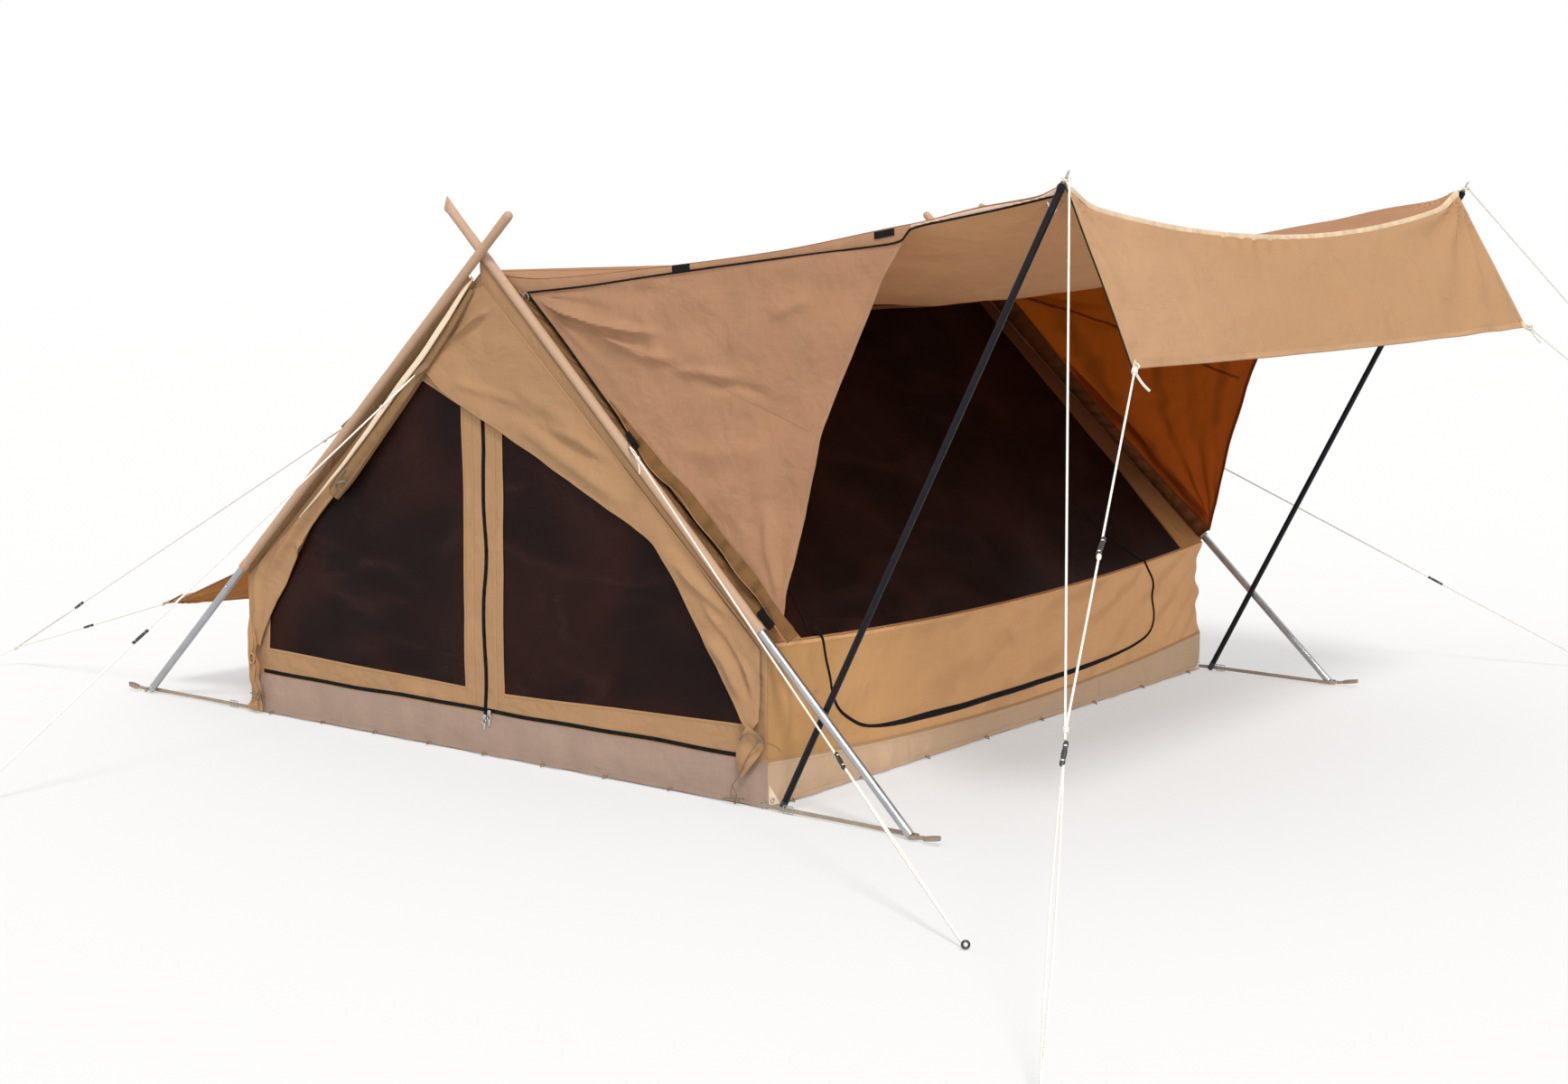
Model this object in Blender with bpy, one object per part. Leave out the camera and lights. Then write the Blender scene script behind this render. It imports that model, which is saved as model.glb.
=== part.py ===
"""Ridge tent with crossed end frames, a sagging front awning and guy ropes.

Metres, +Z up, ridge along X, awning towards -Y, origin on the floor centre
at ground level.  "left" is -X, "right" is +X, "front" is -Y, "back" is +Y.
"""
import math

import bmesh
import bpy
from mathutils import Vector
from mathutils.geometry import tessellate_polygon

# ---- driving dimensions -------------------------------------------------
LENGTH = 2.700            # floor length, gable to gable
WIDTH = 2.264             # floor width, front to back
EAVE_Z = 0.490            # height of the upright lower walls at the gables
RIDGE_Z = 1.530           # fabric apex of the inner tent
SKIRT_Z = 0.140           # height of the upturned groundsheet edge
SKIRT_DIP = 0.060         # the front skirt dips this much at mid length
SEAM_DIP = 0.050          # how far the top of the walls dips at mid length
CLOTH = 0.003             # cloth and mesh panels
FLOOR_T = 0.003           # groundsheet
GAP = 0.0005              # air left between neighbouring pieces

MESH_TOP_X = 1.264        # half width of the front mesh panel, upper edge
MESH_LOW_X = 1.185        # and lower edge
MESH_TOP_Y = 0.170        # distance of its upper edge from the ridge

TUBE_R = 0.013            # silver frame tube
SLEEVE_R = 0.0148         # cloth sleeve on the frame tube, outside
SLEEVE_IN = 0.0136        # inside
FOOT_X, FOOT_Y = 1.375, 1.663      # frame pole feet
PASS_IN = (1.358, 0.0, 1.617)      # point that the inner frame pole passes through, above the ridge
PASS_OUT = (1.390, 0.061, 1.614)   # and the outer one, a little past the ridge
TIP_LONG = 0.160          # pole length above that point, pole with the flat sleeve end
TIP_SHORT = 0.140         # pole length above that point, pole with the round sleeve end
SLEEVE_Y = 1.121          # where the sleeves end

AWN_R = 0.010             # black awning pole
AWN_FOOT = (1.3455, 1.176) # its foot, x and y
AWN_TOP = (1.358, 2.090, 1.798)    # its shoulder
SPIKE = 0.040             # spike above the shoulder
SPIKE_R = 0.0035

FLY_X = 1.335             # half length of the fly sheet along the ridge
FLY_RIDGE_Z = 1.5395
CORNER = (1.330, 2.074, 1.762)     # front corners of the awning roof
DROP = (1.392, 2.321, 1.335)       # lower corners of the front drop panel
AWN_SAG = ((0.0, 0.0), (0.30, 0.085), (0.60, 0.135), (0.975, 0.160), (1.50, 0.150), (2.074, 0.106))
AWN_EDGE = ((0.0, 1.5395), (0.14, 1.524), (0.26, 1.522), (0.61, 1.553), (1.15, 1.616), (1.58, 1.690), (2.074, 1.762))
BACK_HEM = (1.335, 1.596, 0.325)   # back corners of the fly
HEM_DROOP = 0.085                  # how far the back hem hangs lower at mid length

ROPE_R = 0.003

MATERIALS = {
    "canvas_tan": ((0.60, 0.42, 0.24), 0.0, 0.9),
    "canvas_fly": ((0.48, 0.27, 0.13), 0.0, 0.9),
    "canvas_skirt": ((0.43, 0.30, 0.21), 0.0, 0.85),
    "mesh_dark": ((0.020, 0.014, 0.010), 0.0, 0.8),
    "groundsheet_brown": ((0.16, 0.12, 0.09), 0.0, 0.7),
    "zip_black": ((0.012, 0.012, 0.013), 0.0, 0.5),
    "tube_silver": ((0.56, 0.58, 0.60), 1.0, 0.35),
    "pole_black": ((0.018, 0.018, 0.022), 0.0, 0.3),
    "webbing_brown": ((0.30, 0.23, 0.17), 0.0, 0.85),
    "rope_white": ((0.78, 0.75, 0.68), 0.0, 0.8),
}

for stale in list(bpy.data.objects):
    bpy.data.objects.remove(stale, do_unlink=True)


def material(slot):
    mat = bpy.data.materials.get(slot)
    if mat is None:
        colour, metal, rough = MATERIALS[slot]
        mat = bpy.data.materials.new(slot)
        mat.use_nodes = True
        shader = mat.node_tree.nodes["Principled BSDF"]
        shader.inputs["Base Color"].default_value = (*colour, 1.0)
        shader.inputs["Metallic"].default_value = metal
        shader.inputs["Roughness"].default_value = rough
        mat.diffuse_color = (*colour, 1.0)
    return mat


def body(name, slot, verts, faces):
    """One closed body, its faces turned outward."""
    mesh = bpy.data.meshes.new(name)
    bm = bmesh.new()
    made = [bm.verts.new(v) for v in verts]
    for face in faces:
        bm.faces.new([made[i] for i in face])
    bmesh.ops.recalc_face_normals(bm, faces=bm.faces[:])
    if bm.calc_volume(signed=True) < 0:
        bmesh.ops.reverse_faces(bm, faces=bm.faces[:])
    bm.to_mesh(mesh)
    bm.free()
    obj = bpy.data.objects.new(name, mesh)
    bpy.context.scene.collection.objects.link(obj)
    obj.data.materials.append(material(slot))
    return obj


def union(name, pieces):
    """Join overlapping closed shapes into one closed body."""
    base = pieces[0]
    base.name = name
    for other in pieces[1:]:
        mod = base.modifiers.new("join", "BOOLEAN")
        mod.operation = "UNION"
        mod.solver = "EXACT"
        mod.object = other
        deps = bpy.context.evaluated_depsgraph_get()
        deps.update()
        joined = bpy.data.meshes.new_from_object(base.evaluated_get(deps))
        base.modifiers.clear()
        base.data = joined
        bpy.data.objects.remove(other, do_unlink=True)
    base.data.name = name
    return base


def slab(name, slot, place, loops, thickness):
    """A flat panel: place(a, b, t) gives the point at plane coordinates a, b and depth t."""
    flat = [[Vector((a, b, 0.0)) for a, b in loop] for loop in loops]
    tris = tessellate_polygon(flat)
    pts = [p for loop in loops for p in loop]
    n = len(pts)
    verts = [place(a, b, 0.0) for a, b in pts] + [place(a, b, thickness) for a, b in pts]
    faces = [tuple(t) for t in tris] + [tuple(i + n for i in reversed(t)) for t in tris]
    start = 0
    for loop in loops:
        k = len(loop)
        for i in range(k):
            j = (i + 1) % k
            faces.append((start + i, start + j, start + j + n, start + i + n))
        start += k
    return body(name, slot, verts, faces)


def sheet(name, slot, surface, nu, nv, thickness):
    """A curved panel of even thickness; surface(u, v) is its outer face, depth goes inward."""
    e = 1e-4
    outer, inner = [], []
    for j in range(nv + 1):
        for i in range(nu + 1):
            u, v = i / nu, j / nv
            p = surface(u, v)
            du = surface(min(u + e, 1), v) - surface(max(u - e, 0), v)
            dv = surface(u, min(v + e, 1)) - surface(u, max(v - e, 0))
            outer.append(p)
            inner.append(p - du.cross(dv).normalized() * thickness)
    n = len(outer)
    at = lambda i, j: j * (nu + 1) + i
    faces = []
    for j in range(nv):
        for i in range(nu):
            a, b, c, d = at(i, j), at(i + 1, j), at(i + 1, j + 1), at(i, j + 1)
            faces += [(a, b, c), (a, c, d), (a + n, c + n, b + n), (a + n, d + n, c + n)]
    rim = [at(i, 0) for i in range(nu)] + [at(nu, j) for j in range(nv)]
    rim += [at(i, nv) for i in range(nu, 0, -1)] + [at(0, j) for j in range(nv, 0, -1)]
    for k, a in enumerate(rim):
        b = rim[(k + 1) % len(rim)]
        faces += [(a, a + n, b + n), (a, b + n, b)]
    return body(name, slot, outer + inner, faces)


def frame_of(direction):
    w = direction.normalized()
    ref = Vector((0, 0, 1)) if abs(w.z) < 0.9 else Vector((1, 0, 0))
    u = w.cross(ref).normalized()
    return u, w.cross(u).normalized(), w


def lathe(name, slot, start, direction, rings, sides=12, twist=0.0):
    """Rings (distance, radius a, radius b) along a straight axis; a radius of 0 closes the end to a point."""
    u, v, w = frame_of(direction)
    verts, faces, rows = [], [], []
    for dist, ra, rb in rings:
        c = start + w * dist
        if ra == 0:
            rows.append([len(verts)])
            verts.append(c)
        else:
            row = []
            for k in range(sides):
                t = 2 * math.pi * k / sides + twist
                row.append(len(verts))
                verts.append(c + u * (ra * math.cos(t)) + v * (rb * math.sin(t)))
            rows.append(row)
    for r0, r1 in zip(rows, rows[1:]):
        if len(r0) == 1:
            faces += [(r0[0], r1[k], r1[(k + 1) % sides]) for k in range(sides)]
        elif len(r1) == 1:
            faces += [(r0[k], r0[(k + 1) % sides], r1[0]) for k in range(sides)]
        else:
            faces += [(r0[k], r0[(k + 1) % sides], r1[(k + 1) % sides], r1[k]) for k in range(sides)]
    if len(rows[0]) > 1:
        faces.append(tuple(reversed(rows[0])))
    if len(rows[-1]) > 1:
        faces.append(tuple(rows[-1]))
    return body(name, slot, verts, faces)


def rod(name, slot, a, b, radius, sides=6, twist=0.0):
    a, b = Vector(a), Vector(b)
    return lathe(name, slot, a, b - a, [(0, radius, radius), ((b - a).length, radius, radius)], sides, twist)


def ball(name, slot, centre, radius, axis=Vector((0.3, 0.2, 1)), sides=8):
    rings = [(radius * (1 - math.cos(math.pi * k / 5)), radius * math.sin(math.pi * k / 5),
              radius * math.sin(math.pi * k / 5)) for k in range(1, 5)]
    rings = [(0, 0, 0)] + rings + [(2 * radius, 0, 0)]
    w = axis.normalized()
    return lathe(name, slot, Vector(centre) - w * radius, w, rings, sides, 0.17)


def ring(name, slot, centre, axis, major, minor, around=16, sides=6):
    u, v, w = frame_of(Vector(axis))
    verts, faces = [], []
    for i in range(around):
        t = 2 * math.pi * i / around
        out = u * math.cos(t) + v * math.sin(t)
        for k in range(sides):
            s = 2 * math.pi * k / sides + 0.26
            verts.append(Vector(centre) + out * (major + minor * math.cos(s)) + w * (minor * math.sin(s)))
    for i in range(around):
        for k in range(sides):
            a, b = i * sides + k, i * sides + (k + 1) % sides
            c, d = ((i + 1) % around) * sides + (k + 1) % sides, ((i + 1) % around) * sides + k
            faces.append((a, b, c, d))
    return body(name, slot, verts, faces)


def band(name, slot, path, width, z0, z1):
    """A strap standing on its edge along a plan path of (x, y) points."""
    pts = [Vector((x, y, 0)) for x, y in path]
    left, right = [], []
    for i, p in enumerate(pts):
        a = pts[max(i - 1, 0)]
        b = pts[min(i + 1, len(pts) - 1)]
        d1 = (p - a).normalized() if i else (b - p).normalized()
        d2 = (b - p).normalized() if i < len(pts) - 1 else d1
        side = Vector((-(d1 + d2).y, (d1 + d2).x, 0)).normalized()
        scale = 1 / max(0.5, side.dot(Vector((-d1.y, d1.x, 0))))
        left.append(p + side * width / 2 * scale)
        right.append(p - side * width / 2 * scale)
    verts = []
    for l, r in zip(left, right):
        verts += [(l.x, l.y, z0), (r.x, r.y, z0), (r.x, r.y, z1), (l.x, l.y, z1)]
    faces = [(0, 1, 2, 3), tuple(len(verts) - 4 + k for k in (3, 2, 1, 0))]
    for i in range(len(pts) - 1):
        o = 4 * i
        for k in range(4):
            faces.append((o + k, o + 4 + k, o + 4 + (k + 1) % 4, o + (k + 1) % 4))
    return body(name, slot, verts, faces)


def curve(table, y):
    """Smooth curve through the driving points of a table."""
    n = len(table)
    for i in range(n - 1):
        if y <= table[i + 1][0] or i == n - 2:
            (x1, p1), (x2, p2) = table[i], table[i + 1]
            x0, p0 = table[i - 1] if i else (2 * x1 - x2, 2 * p1 - p2)
            x3, p3 = table[i + 2] if i < n - 2 else (2 * x2 - x1, 2 * p2 - p1)
            m1, m2 = (p2 - p0) / (x2 - x0), (p3 - p1) / (x3 - x1)
            h = x2 - x1
            t = (y - x1) / h
            return ((2 * t**3 - 3 * t**2 + 1) * p1 + (t**3 - 2 * t**2 + t) * h * m1
                    + (-2 * t**3 + 3 * t**2) * p2 + (t**3 - t**2) * h * m2)


# ---- shared lines of the inner tent --------------------------------------
HALF_L, HALF_W = LENGTH / 2, WIDTH / 2
WALL_Y = HALF_W                      # outer face of the long walls
SLOPE = (RIDGE_Z - EAVE_Z) / WALL_Y  # rise of the roof per metre of depth
COS_S = 1 / math.hypot(1, SLOPE)
IN_X = HALF_L - CLOTH - GAP          # long walls and roof end inside the gables


def skirt_line(x, dip):
    return SKIRT_Z - dip * (1 - (x / HALF_L) ** 2)


def seam_line(x):
    return EAVE_Z - SEAM_DIP * (1 - (x / HALF_L) ** 2)


def long_wall(side):
    return lambda a, b, t: Vector((a, side * (WALL_Y - t), b))


def gable(side, lift=0.0):
    return lambda a, b, t: Vector((side * (HALF_L + lift - t), a, b))


def roof(side):
    """x and the plan distance y from the ridge; straight lines run from the ridge down to the dipping seam."""
    def place(a, b, t):
        z = RIDGE_Z - (RIDGE_Z - seam_line(a)) * b / WALL_Y
        return Vector((a, side * (b - t * SLOPE * COS_S), z - t * COS_S))
    return place


steps = [-IN_X + 2 * IN_X * k / 12 for k in range(13)]

# ---- floor and the upturned edge of the groundsheet -----------------------
slab("groundsheet", "groundsheet_brown", lambda a, b, t: Vector((a, b, t)),
     [[(-HALF_L, -HALF_W), (HALF_L, -HALF_W), (HALF_L, HALF_W), (-HALF_L, HALF_W)]], FLOOR_T)
LOW = FLOOR_T + GAP
for label, side, dip in (("front", -1, SKIRT_DIP), ("back", 1, SKIRT_DIP)):
    top = [(x, skirt_line(x, dip)) for x in reversed(steps)]
    slab(f"skirt_{label}", "canvas_skirt", long_wall(side), [[(-IN_X, LOW), (IN_X, LOW)] + top], CLOTH)
    low = [(x, skirt_line(x, dip) + GAP) for x in steps]
    high = [(x, seam_line(x)) for x in reversed(steps)]
    slab(f"{label}_wall", "canvas_tan", long_wall(side), [low + high], CLOTH)
for label, side in (("left", -1), ("right", 1)):
    slab(f"skirt_{label}_gable", "canvas_skirt", gable(side),
         [[(-WALL_Y, LOW), (WALL_Y, LOW), (WALL_Y, SKIRT_Z), (-WALL_Y, SKIRT_Z)]], CLOTH)


# ---- roof slopes of the inner tent: mesh window inside a cloth border ------
for label, side in (("front", -1), ("back", 1)):
    top_y, low_y = 0.0035, WALL_Y - 0.0040
    across = [k / 12 for k in range(13)]
    slab(f"{label}_roof_border", "canvas_tan", roof(side), [
        [(-IN_X, top_y), (IN_X, top_y), (IN_X, low_y), (MESH_LOW_X, low_y)]
        + [(MESH_TOP_X * (1 - 2 * k), MESH_TOP_Y) for k in across]
        + [(-MESH_LOW_X, low_y), (-IN_X, low_y)]], CLOTH)
    g = 2 * GAP
    y0, y1 = MESH_TOP_Y + GAP, low_y

    def window(u, v, side=side):
        half = MESH_TOP_X + (MESH_LOW_X - MESH_TOP_X) * v - g
        return roof(side)(half * (2 * u - 1) * -side, y0 + (y1 - y0) * v, 0.0)
    sheet(f"{label}_roof_mesh", "mesh_dark", window, 12, 1, CLOTH)

# ---- left gable: two mesh windows, the door halves tied open --------------
BAND_BACK, BAND_FRONT = 0.085, -0.078
edge_at = lambda y: RIDGE_Z - SLOPE * abs(y)
mesh_back = [(0.276, 1.203), (0.404, 1.069), (0.821, 0.659), (1.029, 0.363), (1.035, 0.227), (BAND_BACK, 0.209), (BAND_BACK, 1.116)]
mesh_front = [(BAND_FRONT, 1.045), (BAND_FRONT, 0.206), (-1.060, 0.238), (-1.040, 0.370), (-0.821, 0.659), (-0.404, 1.069), (-0.276, 1.190)]
outline = [(-WALL_Y, SKIRT_Z + GAP), (WALL_Y, SKIRT_Z + GAP), (WALL_Y, EAVE_Z - 0.003), (0.0, RIDGE_Z - 0.003), (-WALL_Y, EAVE_Z - 0.003)]


def shrink(loop, gap):
    """Move a convex-ish outline inward by a small gap."""
    n = len(loop)
    area = sum(loop[i][0] * loop[(i + 1) % n][1] - loop[(i + 1) % n][0] * loop[i][1] for i in range(n))
    sgn = 1 if area > 0 else -1
    out = []
    for i in range(n):
        p, a, b = (Vector((*loop[k % n], 0)) for k in (i, i - 1, i + 1))
        d1, d2 = (p - a).normalized(), (b - p).normalized()
        n1, n2 = Vector((-d1.y, d1.x, 0)) * sgn, Vector((-d2.y, d2.x, 0)) * sgn
        m = (n1 + n2).normalized()
        q = p + m * gap / max(0.3, m.dot(n1))
        out.append((q.x, q.y))
    return out


slab("left_gable_panel", "canvas_tan", gable(-1), [outline, mesh_back, mesh_front], CLOTH)
slab("left_gable_mesh_back", "mesh_dark", gable(-1), [shrink(mesh_back, GAP)], CLOTH)
slab("left_gable_mesh_front", "mesh_dark", gable(-1), [shrink(mesh_front, GAP)], CLOTH)
LIFT = 0.0025 + GAP
slab("left_door_zip", "zip_black", gable(-1, LIFT), [[
    (-0.006, 0.149), (-1.02, 0.156), (-1.02, 0.144), (-0.006, 0.137), (-0.006, 0.116), (0.006, 0.116),
    (0.006, 0.137), (1.06, 0.152), (1.06, 0.164), (0.006, 0.149), (0.006, 1.02), (-0.006, 1.02)]], 0.0025)
slab("left_door_flap", "canvas_tan", gable(-1, 0.006 + GAP), [[
    (0.225, 1.225), (0.069, 1.116), (-0.087, 1.045), (-0.400, 0.897), (-0.714, 0.749), (-0.759, 0.700),
    (-1.050, 0.262), (-1.090, 0.225), (-1.112, 0.260), (-1.108, 0.482), (-0.560, 0.995), (-0.020, 1.480)]], 0.006)

# the back half of the door is rolled against the sloping edge down to its tie, hangs
# open below it and is bunched again at the corner
ROLL = ((0.055, 1.440, 0.010, 0.006), (0.200, 1.295, 0.020, 0.012), (0.420, 1.075, 0.028, 0.014),
        (0.640, 0.850, 0.034, 0.015), (0.860, 0.660, 0.046, 0.010), (1.010, 0.490, 0.056, 0.008),
        (1.062, 0.340, 0.042, 0.010), (1.085, 0.200, 0.028, 0.014), (1.082, 0.080, 0.020, 0.012),
        (1.090, 0.030, 0.026, 0.010))


def bundle(name, slot, table, lift, sides=10):
    """A flat bundle of cloth along the gable: y, z, half width and half depth at each station."""
    verts, faces = [], []
    for i, (y, z, wide, deep) in enumerate(table):
        a, b = table[max(i - 1, 0)], table[min(i + 1, len(table) - 1)]
        along = Vector((0, b[0] - a[0], b[1] - a[1])).normalized()
        side = Vector((0, -along.z, along.y))
        for k in range(sides):
            t = 2 * math.pi * k / sides
            verts.append(Vector((-HALF_L - lift - deep, y, z)) + side * wide * math.cos(t) + Vector((deep * math.sin(t), 0, 0)))
    for i in range(len(table) - 1):
        for k in range(sides):
            j = (k + 1) % sides
            faces.append((i * sides + k, i * sides + j, (i + 1) * sides + j, (i + 1) * sides + k))
    faces.append(tuple(range(sides)))
    faces.append(tuple((len(table) - 1) * sides + k for k in reversed(range(sides))))
    return body(name, slot, verts, faces)


bundle("left_door_roll", "canvas_tan", ROLL, 0.0070)

# ---- right gable: the outer door is closed ---------------------------------
slab("right_gable_panel", "canvas_tan", gable(1), [outline], CLOTH)
slab("right_door_zip", "zip_black", gable(1, LIFT), [[
    (-0.006, 0.149), (-1.05, 0.156), (-1.05, 0.144), (-0.006, 0.137), (-0.006, 0.116), (0.006, 0.116),
    (0.006, 0.137), (1.05, 0.144), (1.05, 0.156), (0.006, 0.149), (0.006, 1.45), (-0.006, 1.45)]], 0.0025)

# ---- front door zip: a wide U on the lower front wall ----------------------
ZIP_L, ZIP_R, ZIP_LOW, ZIP_CORNER, ZIP_TOP = -1.060, 0.960, 0.150, 0.090, 0.4300


def u_line(inset):
    xl, xr, z, r = ZIP_L + inset, ZIP_R - inset, ZIP_LOW + inset, ZIP_CORNER - inset
    pts = [(xl, ZIP_TOP), (xl, z + r)]
    pts += [(xl + r - r * math.cos(t), z + r - r * math.sin(t)) for t in (math.pi / 8 * k for k in range(1, 4))]
    pts += [(xl + r, z), (xr - r, z)]
    pts += [(xr - r + r * math.sin(t), z + r - r * math.cos(t)) for t in (math.pi / 8 * k for k in range(1, 4))]
    return pts + [(xr, z + r), (xr, ZIP_TOP)]


slab("front_door_zip", "zip_black", lambda a, b, t: Vector((a, -(WALL_Y + LIFT - t), b)),
     [u_line(0.0) + u_line(0.010)[::-1]], 0.0025)

# ---- crossed frame poles and their sleeves ---------------------------------
for label, sx in (("left", -1), ("right", 1)):
    for where, sy in (("front", -1), ("back", 1)):
        outside = (sx < 0) == (sy > 0)
        past = PASS_OUT if outside else PASS_IN
        foot = Vector((sx * FOOT_X, sy * FOOT_Y, 0.0))
        cross = Vector((sx * past[0], -sy * past[1], past[2]))
        w = (cross - foot).normalized()
        reach = (cross - foot).length
        tip = TIP_SHORT if outside else TIP_LONG
        lift = TUBE_R * math.sqrt(1 - w.z**2) + 0.0005
        start = foot + w * (lift / w.z)
        total = reach + tip - lift / w.z
        lathe(f"frame_pole_{where}_{label}", "tube_silver", start, w,
              [(0, TUBE_R * 0.8, TUBE_R * 0.8), (0.004, TUBE_R, TUBE_R), (total - 0.004, TUBE_R, TUBE_R),
               (total, TUBE_R * 0.8, TUBE_R * 0.8)], 12)
        s0 = (FOOT_Y - SLEEVE_Y) / abs(w.y) - lift / w.z
        u_s, v_s, _ = frame_of(w)
        flat_u = abs(u_s.x) > abs(v_s.x)
        r, q = SLEEVE_R, SLEEVE_IN
        rings = [(total - 0.02, q, q), (s0, q, q), (s0, r, r), (total + 0.003, r, r)]
        if outside:
            ends = [(total + 0.010, 0.012, 0.012), (total + 0.014, 0.006, 0.006)]
        else:
            ends = [(total + 0.016, 0.009, 0.018), (total + 0.040, 0.003, 0.021)]
            if not flat_u:
                ends = [(d, b, a) for d, a, b in ends]
        rings += ends
        rings = [(total + 0.0008, q, q)] + rings[1:]
        lathe(f"sleeve_{where}_{label}", "canvas_tan", start, w, rings, 12)

# ---- awning poles -----------------------------------------------------------
for label, sx in (("left", -1), ("right", 1)):
    foot = Vector((sx * AWN_FOOT[0], -AWN_FOOT[1], 0.0))
    top = Vector((sx * AWN_TOP[0], -AWN_TOP[1], AWN_TOP[2]))
    w = (top - foot).normalized()
    reach = (top - foot).length
    lift = (AWN_R * math.sqrt(1 - w.z**2) + 0.0005) / w.z
    lathe(f"awning_pole_{label}", "pole_black", foot + w * lift, w,
          [(0, 0.009, 0.009), (0.030, AWN_R, AWN_R), (reach - lift - 0.016, AWN_R, AWN_R),
           (reach - lift - 0.012, 0.0125, 0.0125), (reach - lift - 0.002, 0.0125, 0.0125),
           (reach - lift, 0.006, 0.006), (reach - lift + 0.001, SPIKE_R, SPIKE_R),
           (reach - lift + SPIKE - 0.004, SPIKE_R, SPIKE_R), (reach - lift + SPIKE, 0.0015, 0.0015)], 12)


# ---- fly sheet: awning roof, drop panel, side walls and back half -----------
def awning(u, v):
    """u runs left to right, v from the ridge to the front edge."""
    y = CORNER[1] * v
    half = FLY_X + (CORNER[0] - FLY_X) * v
    x = half * (2 * u - 1)
    z = curve(AWN_EDGE, y) - curve(AWN_SAG, y) * (1 - (x / half) ** 2)
    return Vector((x, -y, z))


def drop(u, v):
    top = awning(u, 1.0) + Vector((0, -0.0045, -0.0005))
    s = 2 * u - 1
    low = Vector((s * DROP[0], -DROP[1], DROP[2] - 0.010 * (1 - s * s)))
    bow = 0.012 * math.sin(math.pi * v)
    return top.lerp(low, v) + Vector((0, -bow, 0))


def back_fly(u, v):
    """v from the ridge down the back slope and out to the flared hem."""
    turn = 0.70
    a = Vector((0, 0.0006, FLY_RIDGE_Z))
    b = Vector((0, WALL_Y + 0.010, EAVE_Z + 0.012))
    c = Vector((0, BACK_HEM[1], BACK_HEM[2]))
    p = a.lerp(b, v / turn) if v <= turn else b.lerp(c, (v - turn) / (1 - turn))
    s, out = 2 * u - 1, max(0.0, (v - turn) / (1 - turn))
    return Vector((FLY_X * s, p.y, p.z - HEM_DROOP * (1 - s * s) * out * out))


sheet("awning_roof", "canvas_fly", lambda u, v: awning(u, v * 0.99975 + 0.00025), 14, 12, CLOTH)
sheet("awning_drop_panel", "canvas_fly", drop, 12, 3, CLOTH)
sheet("fly_back", "canvas_fly", lambda u, v: back_fly(1 - u, v), 12, 10, CLOTH)

for label, sx in (("left", -1), ("right", 1)):
    count = 8
    top_line = [(0.20 + (1.575 - 0.20) * k / count) for k in range(count + 1)]
    top_pts = [(y, curve(AWN_EDGE, y) - CLOTH * 1.15 - 0.0015) for y in top_line]
    pole_line = [(1.150, 0.545), (0.66, 1.003)]
    right_edge = [(1.462, 1.418), (1.310, 1.130), (1.275, 1.070), (1.180, 0.560)]
    loop = top_pts + right_edge + pole_line

    def place(a, b, t, sx=sx):
        lean = 0.004 * max(0.0, min(1.0, (1.50 - b) / 0.95))
        return Vector((sx * (FLY_X - 0.004 - lean - t), -a, b))
    flat = [[Vector((a, b, 0.0)) for a, b in loop]]
    slab(f"awning_side_{label}", "canvas_tan", place, [loop], CLOTH)

# ---- webbing straps from the floor corners to the pole feet ------------------
for label, sx in (("left", -1), ("right", 1)):
    for where, sy in (("front", -1), ("back", 1)):
        hug = TUBE_R + 0.0080
        cx, cy = FOOT_X, FOOT_Y - 0.004
        path = [(1.3530, 1.100), (1.3530, 1.128), (1.3630, 1.150), (1.3630, 1.205), (cx - hug, cy - 0.06)]
        path += [(cx - hug * math.cos(t), cy + hug * math.sin(t)) for t in (math.pi / 10 * k for k in range(0, 13))]
        strap = band("hold", "webbing_brown", [(sx * x, sy * y) for x, y in path], 0.0025, 0.0040, 0.0220)
        tail_c = (cx + 0.012, cy + hug + 0.066)
        tail = [(cx, cy + hug - 0.0006), (cx + 0.001, cy + hug + 0.020)]
        loop_r = 0.026
        tail += [(tail_c[0] - loop_r * math.sin(t), tail_c[1] - loop_r * 1.5 * math.cos(t))
                 for t in (0.25 + (2 * math.pi - 0.55) * k / 14 for k in range(15))]
        end = band("tail", "webbing_brown", [(sx * x, sy * y) for x, y in tail], 0.0022, 0.0050, 0.0205)
        union(f"strap_{where}_{label}", [strap, end])


# ---- guy ropes ----------------------------------------------------------------
def guy(name, sx, lines, knots, rings, runners):
    """Ropes that share one stake: straight lines, knots, loops and slide runners."""
    flip = lambda p: Vector((sx * p[0], p[1], p[2]))
    pieces = []
    for k, (a, b) in enumerate(lines):
        a, b = flip(a), flip(b)
        pieces.append(rod("rope", "rope_white", a, b, ROPE_R, 6, 0.2 + 0.3 * k))
    for k, (p, r) in enumerate(knots):
        pieces.append(ball("knot", "rope_white", flip(p), r))
    for p, n, major in rings:
        pieces.append(ring("loop", "rope_white", flip(p), flip(n), major, 0.0031))
    for a, b, s, e in runners:
        a, b = flip(a), flip(b)
        pieces.append(rod("runner", "rope_white", a.lerp(b, s), a.lerp(b, e), 0.0060, 8, 0.1))
    union(name, pieces)


def on_line(a, b, t):
    return tuple(p + (q - p) * t for p, q in zip(a, b))


def beyond(a, b, d):
    """The point d metres past b on the ground, at the height of b."""
    h = math.hypot(b[0] - a[0], b[1] - a[1])
    return (b[0] + (b[0] - a[0]) * d / h, b[1] + (b[1] - a[1]) * d / h, b[2])


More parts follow.
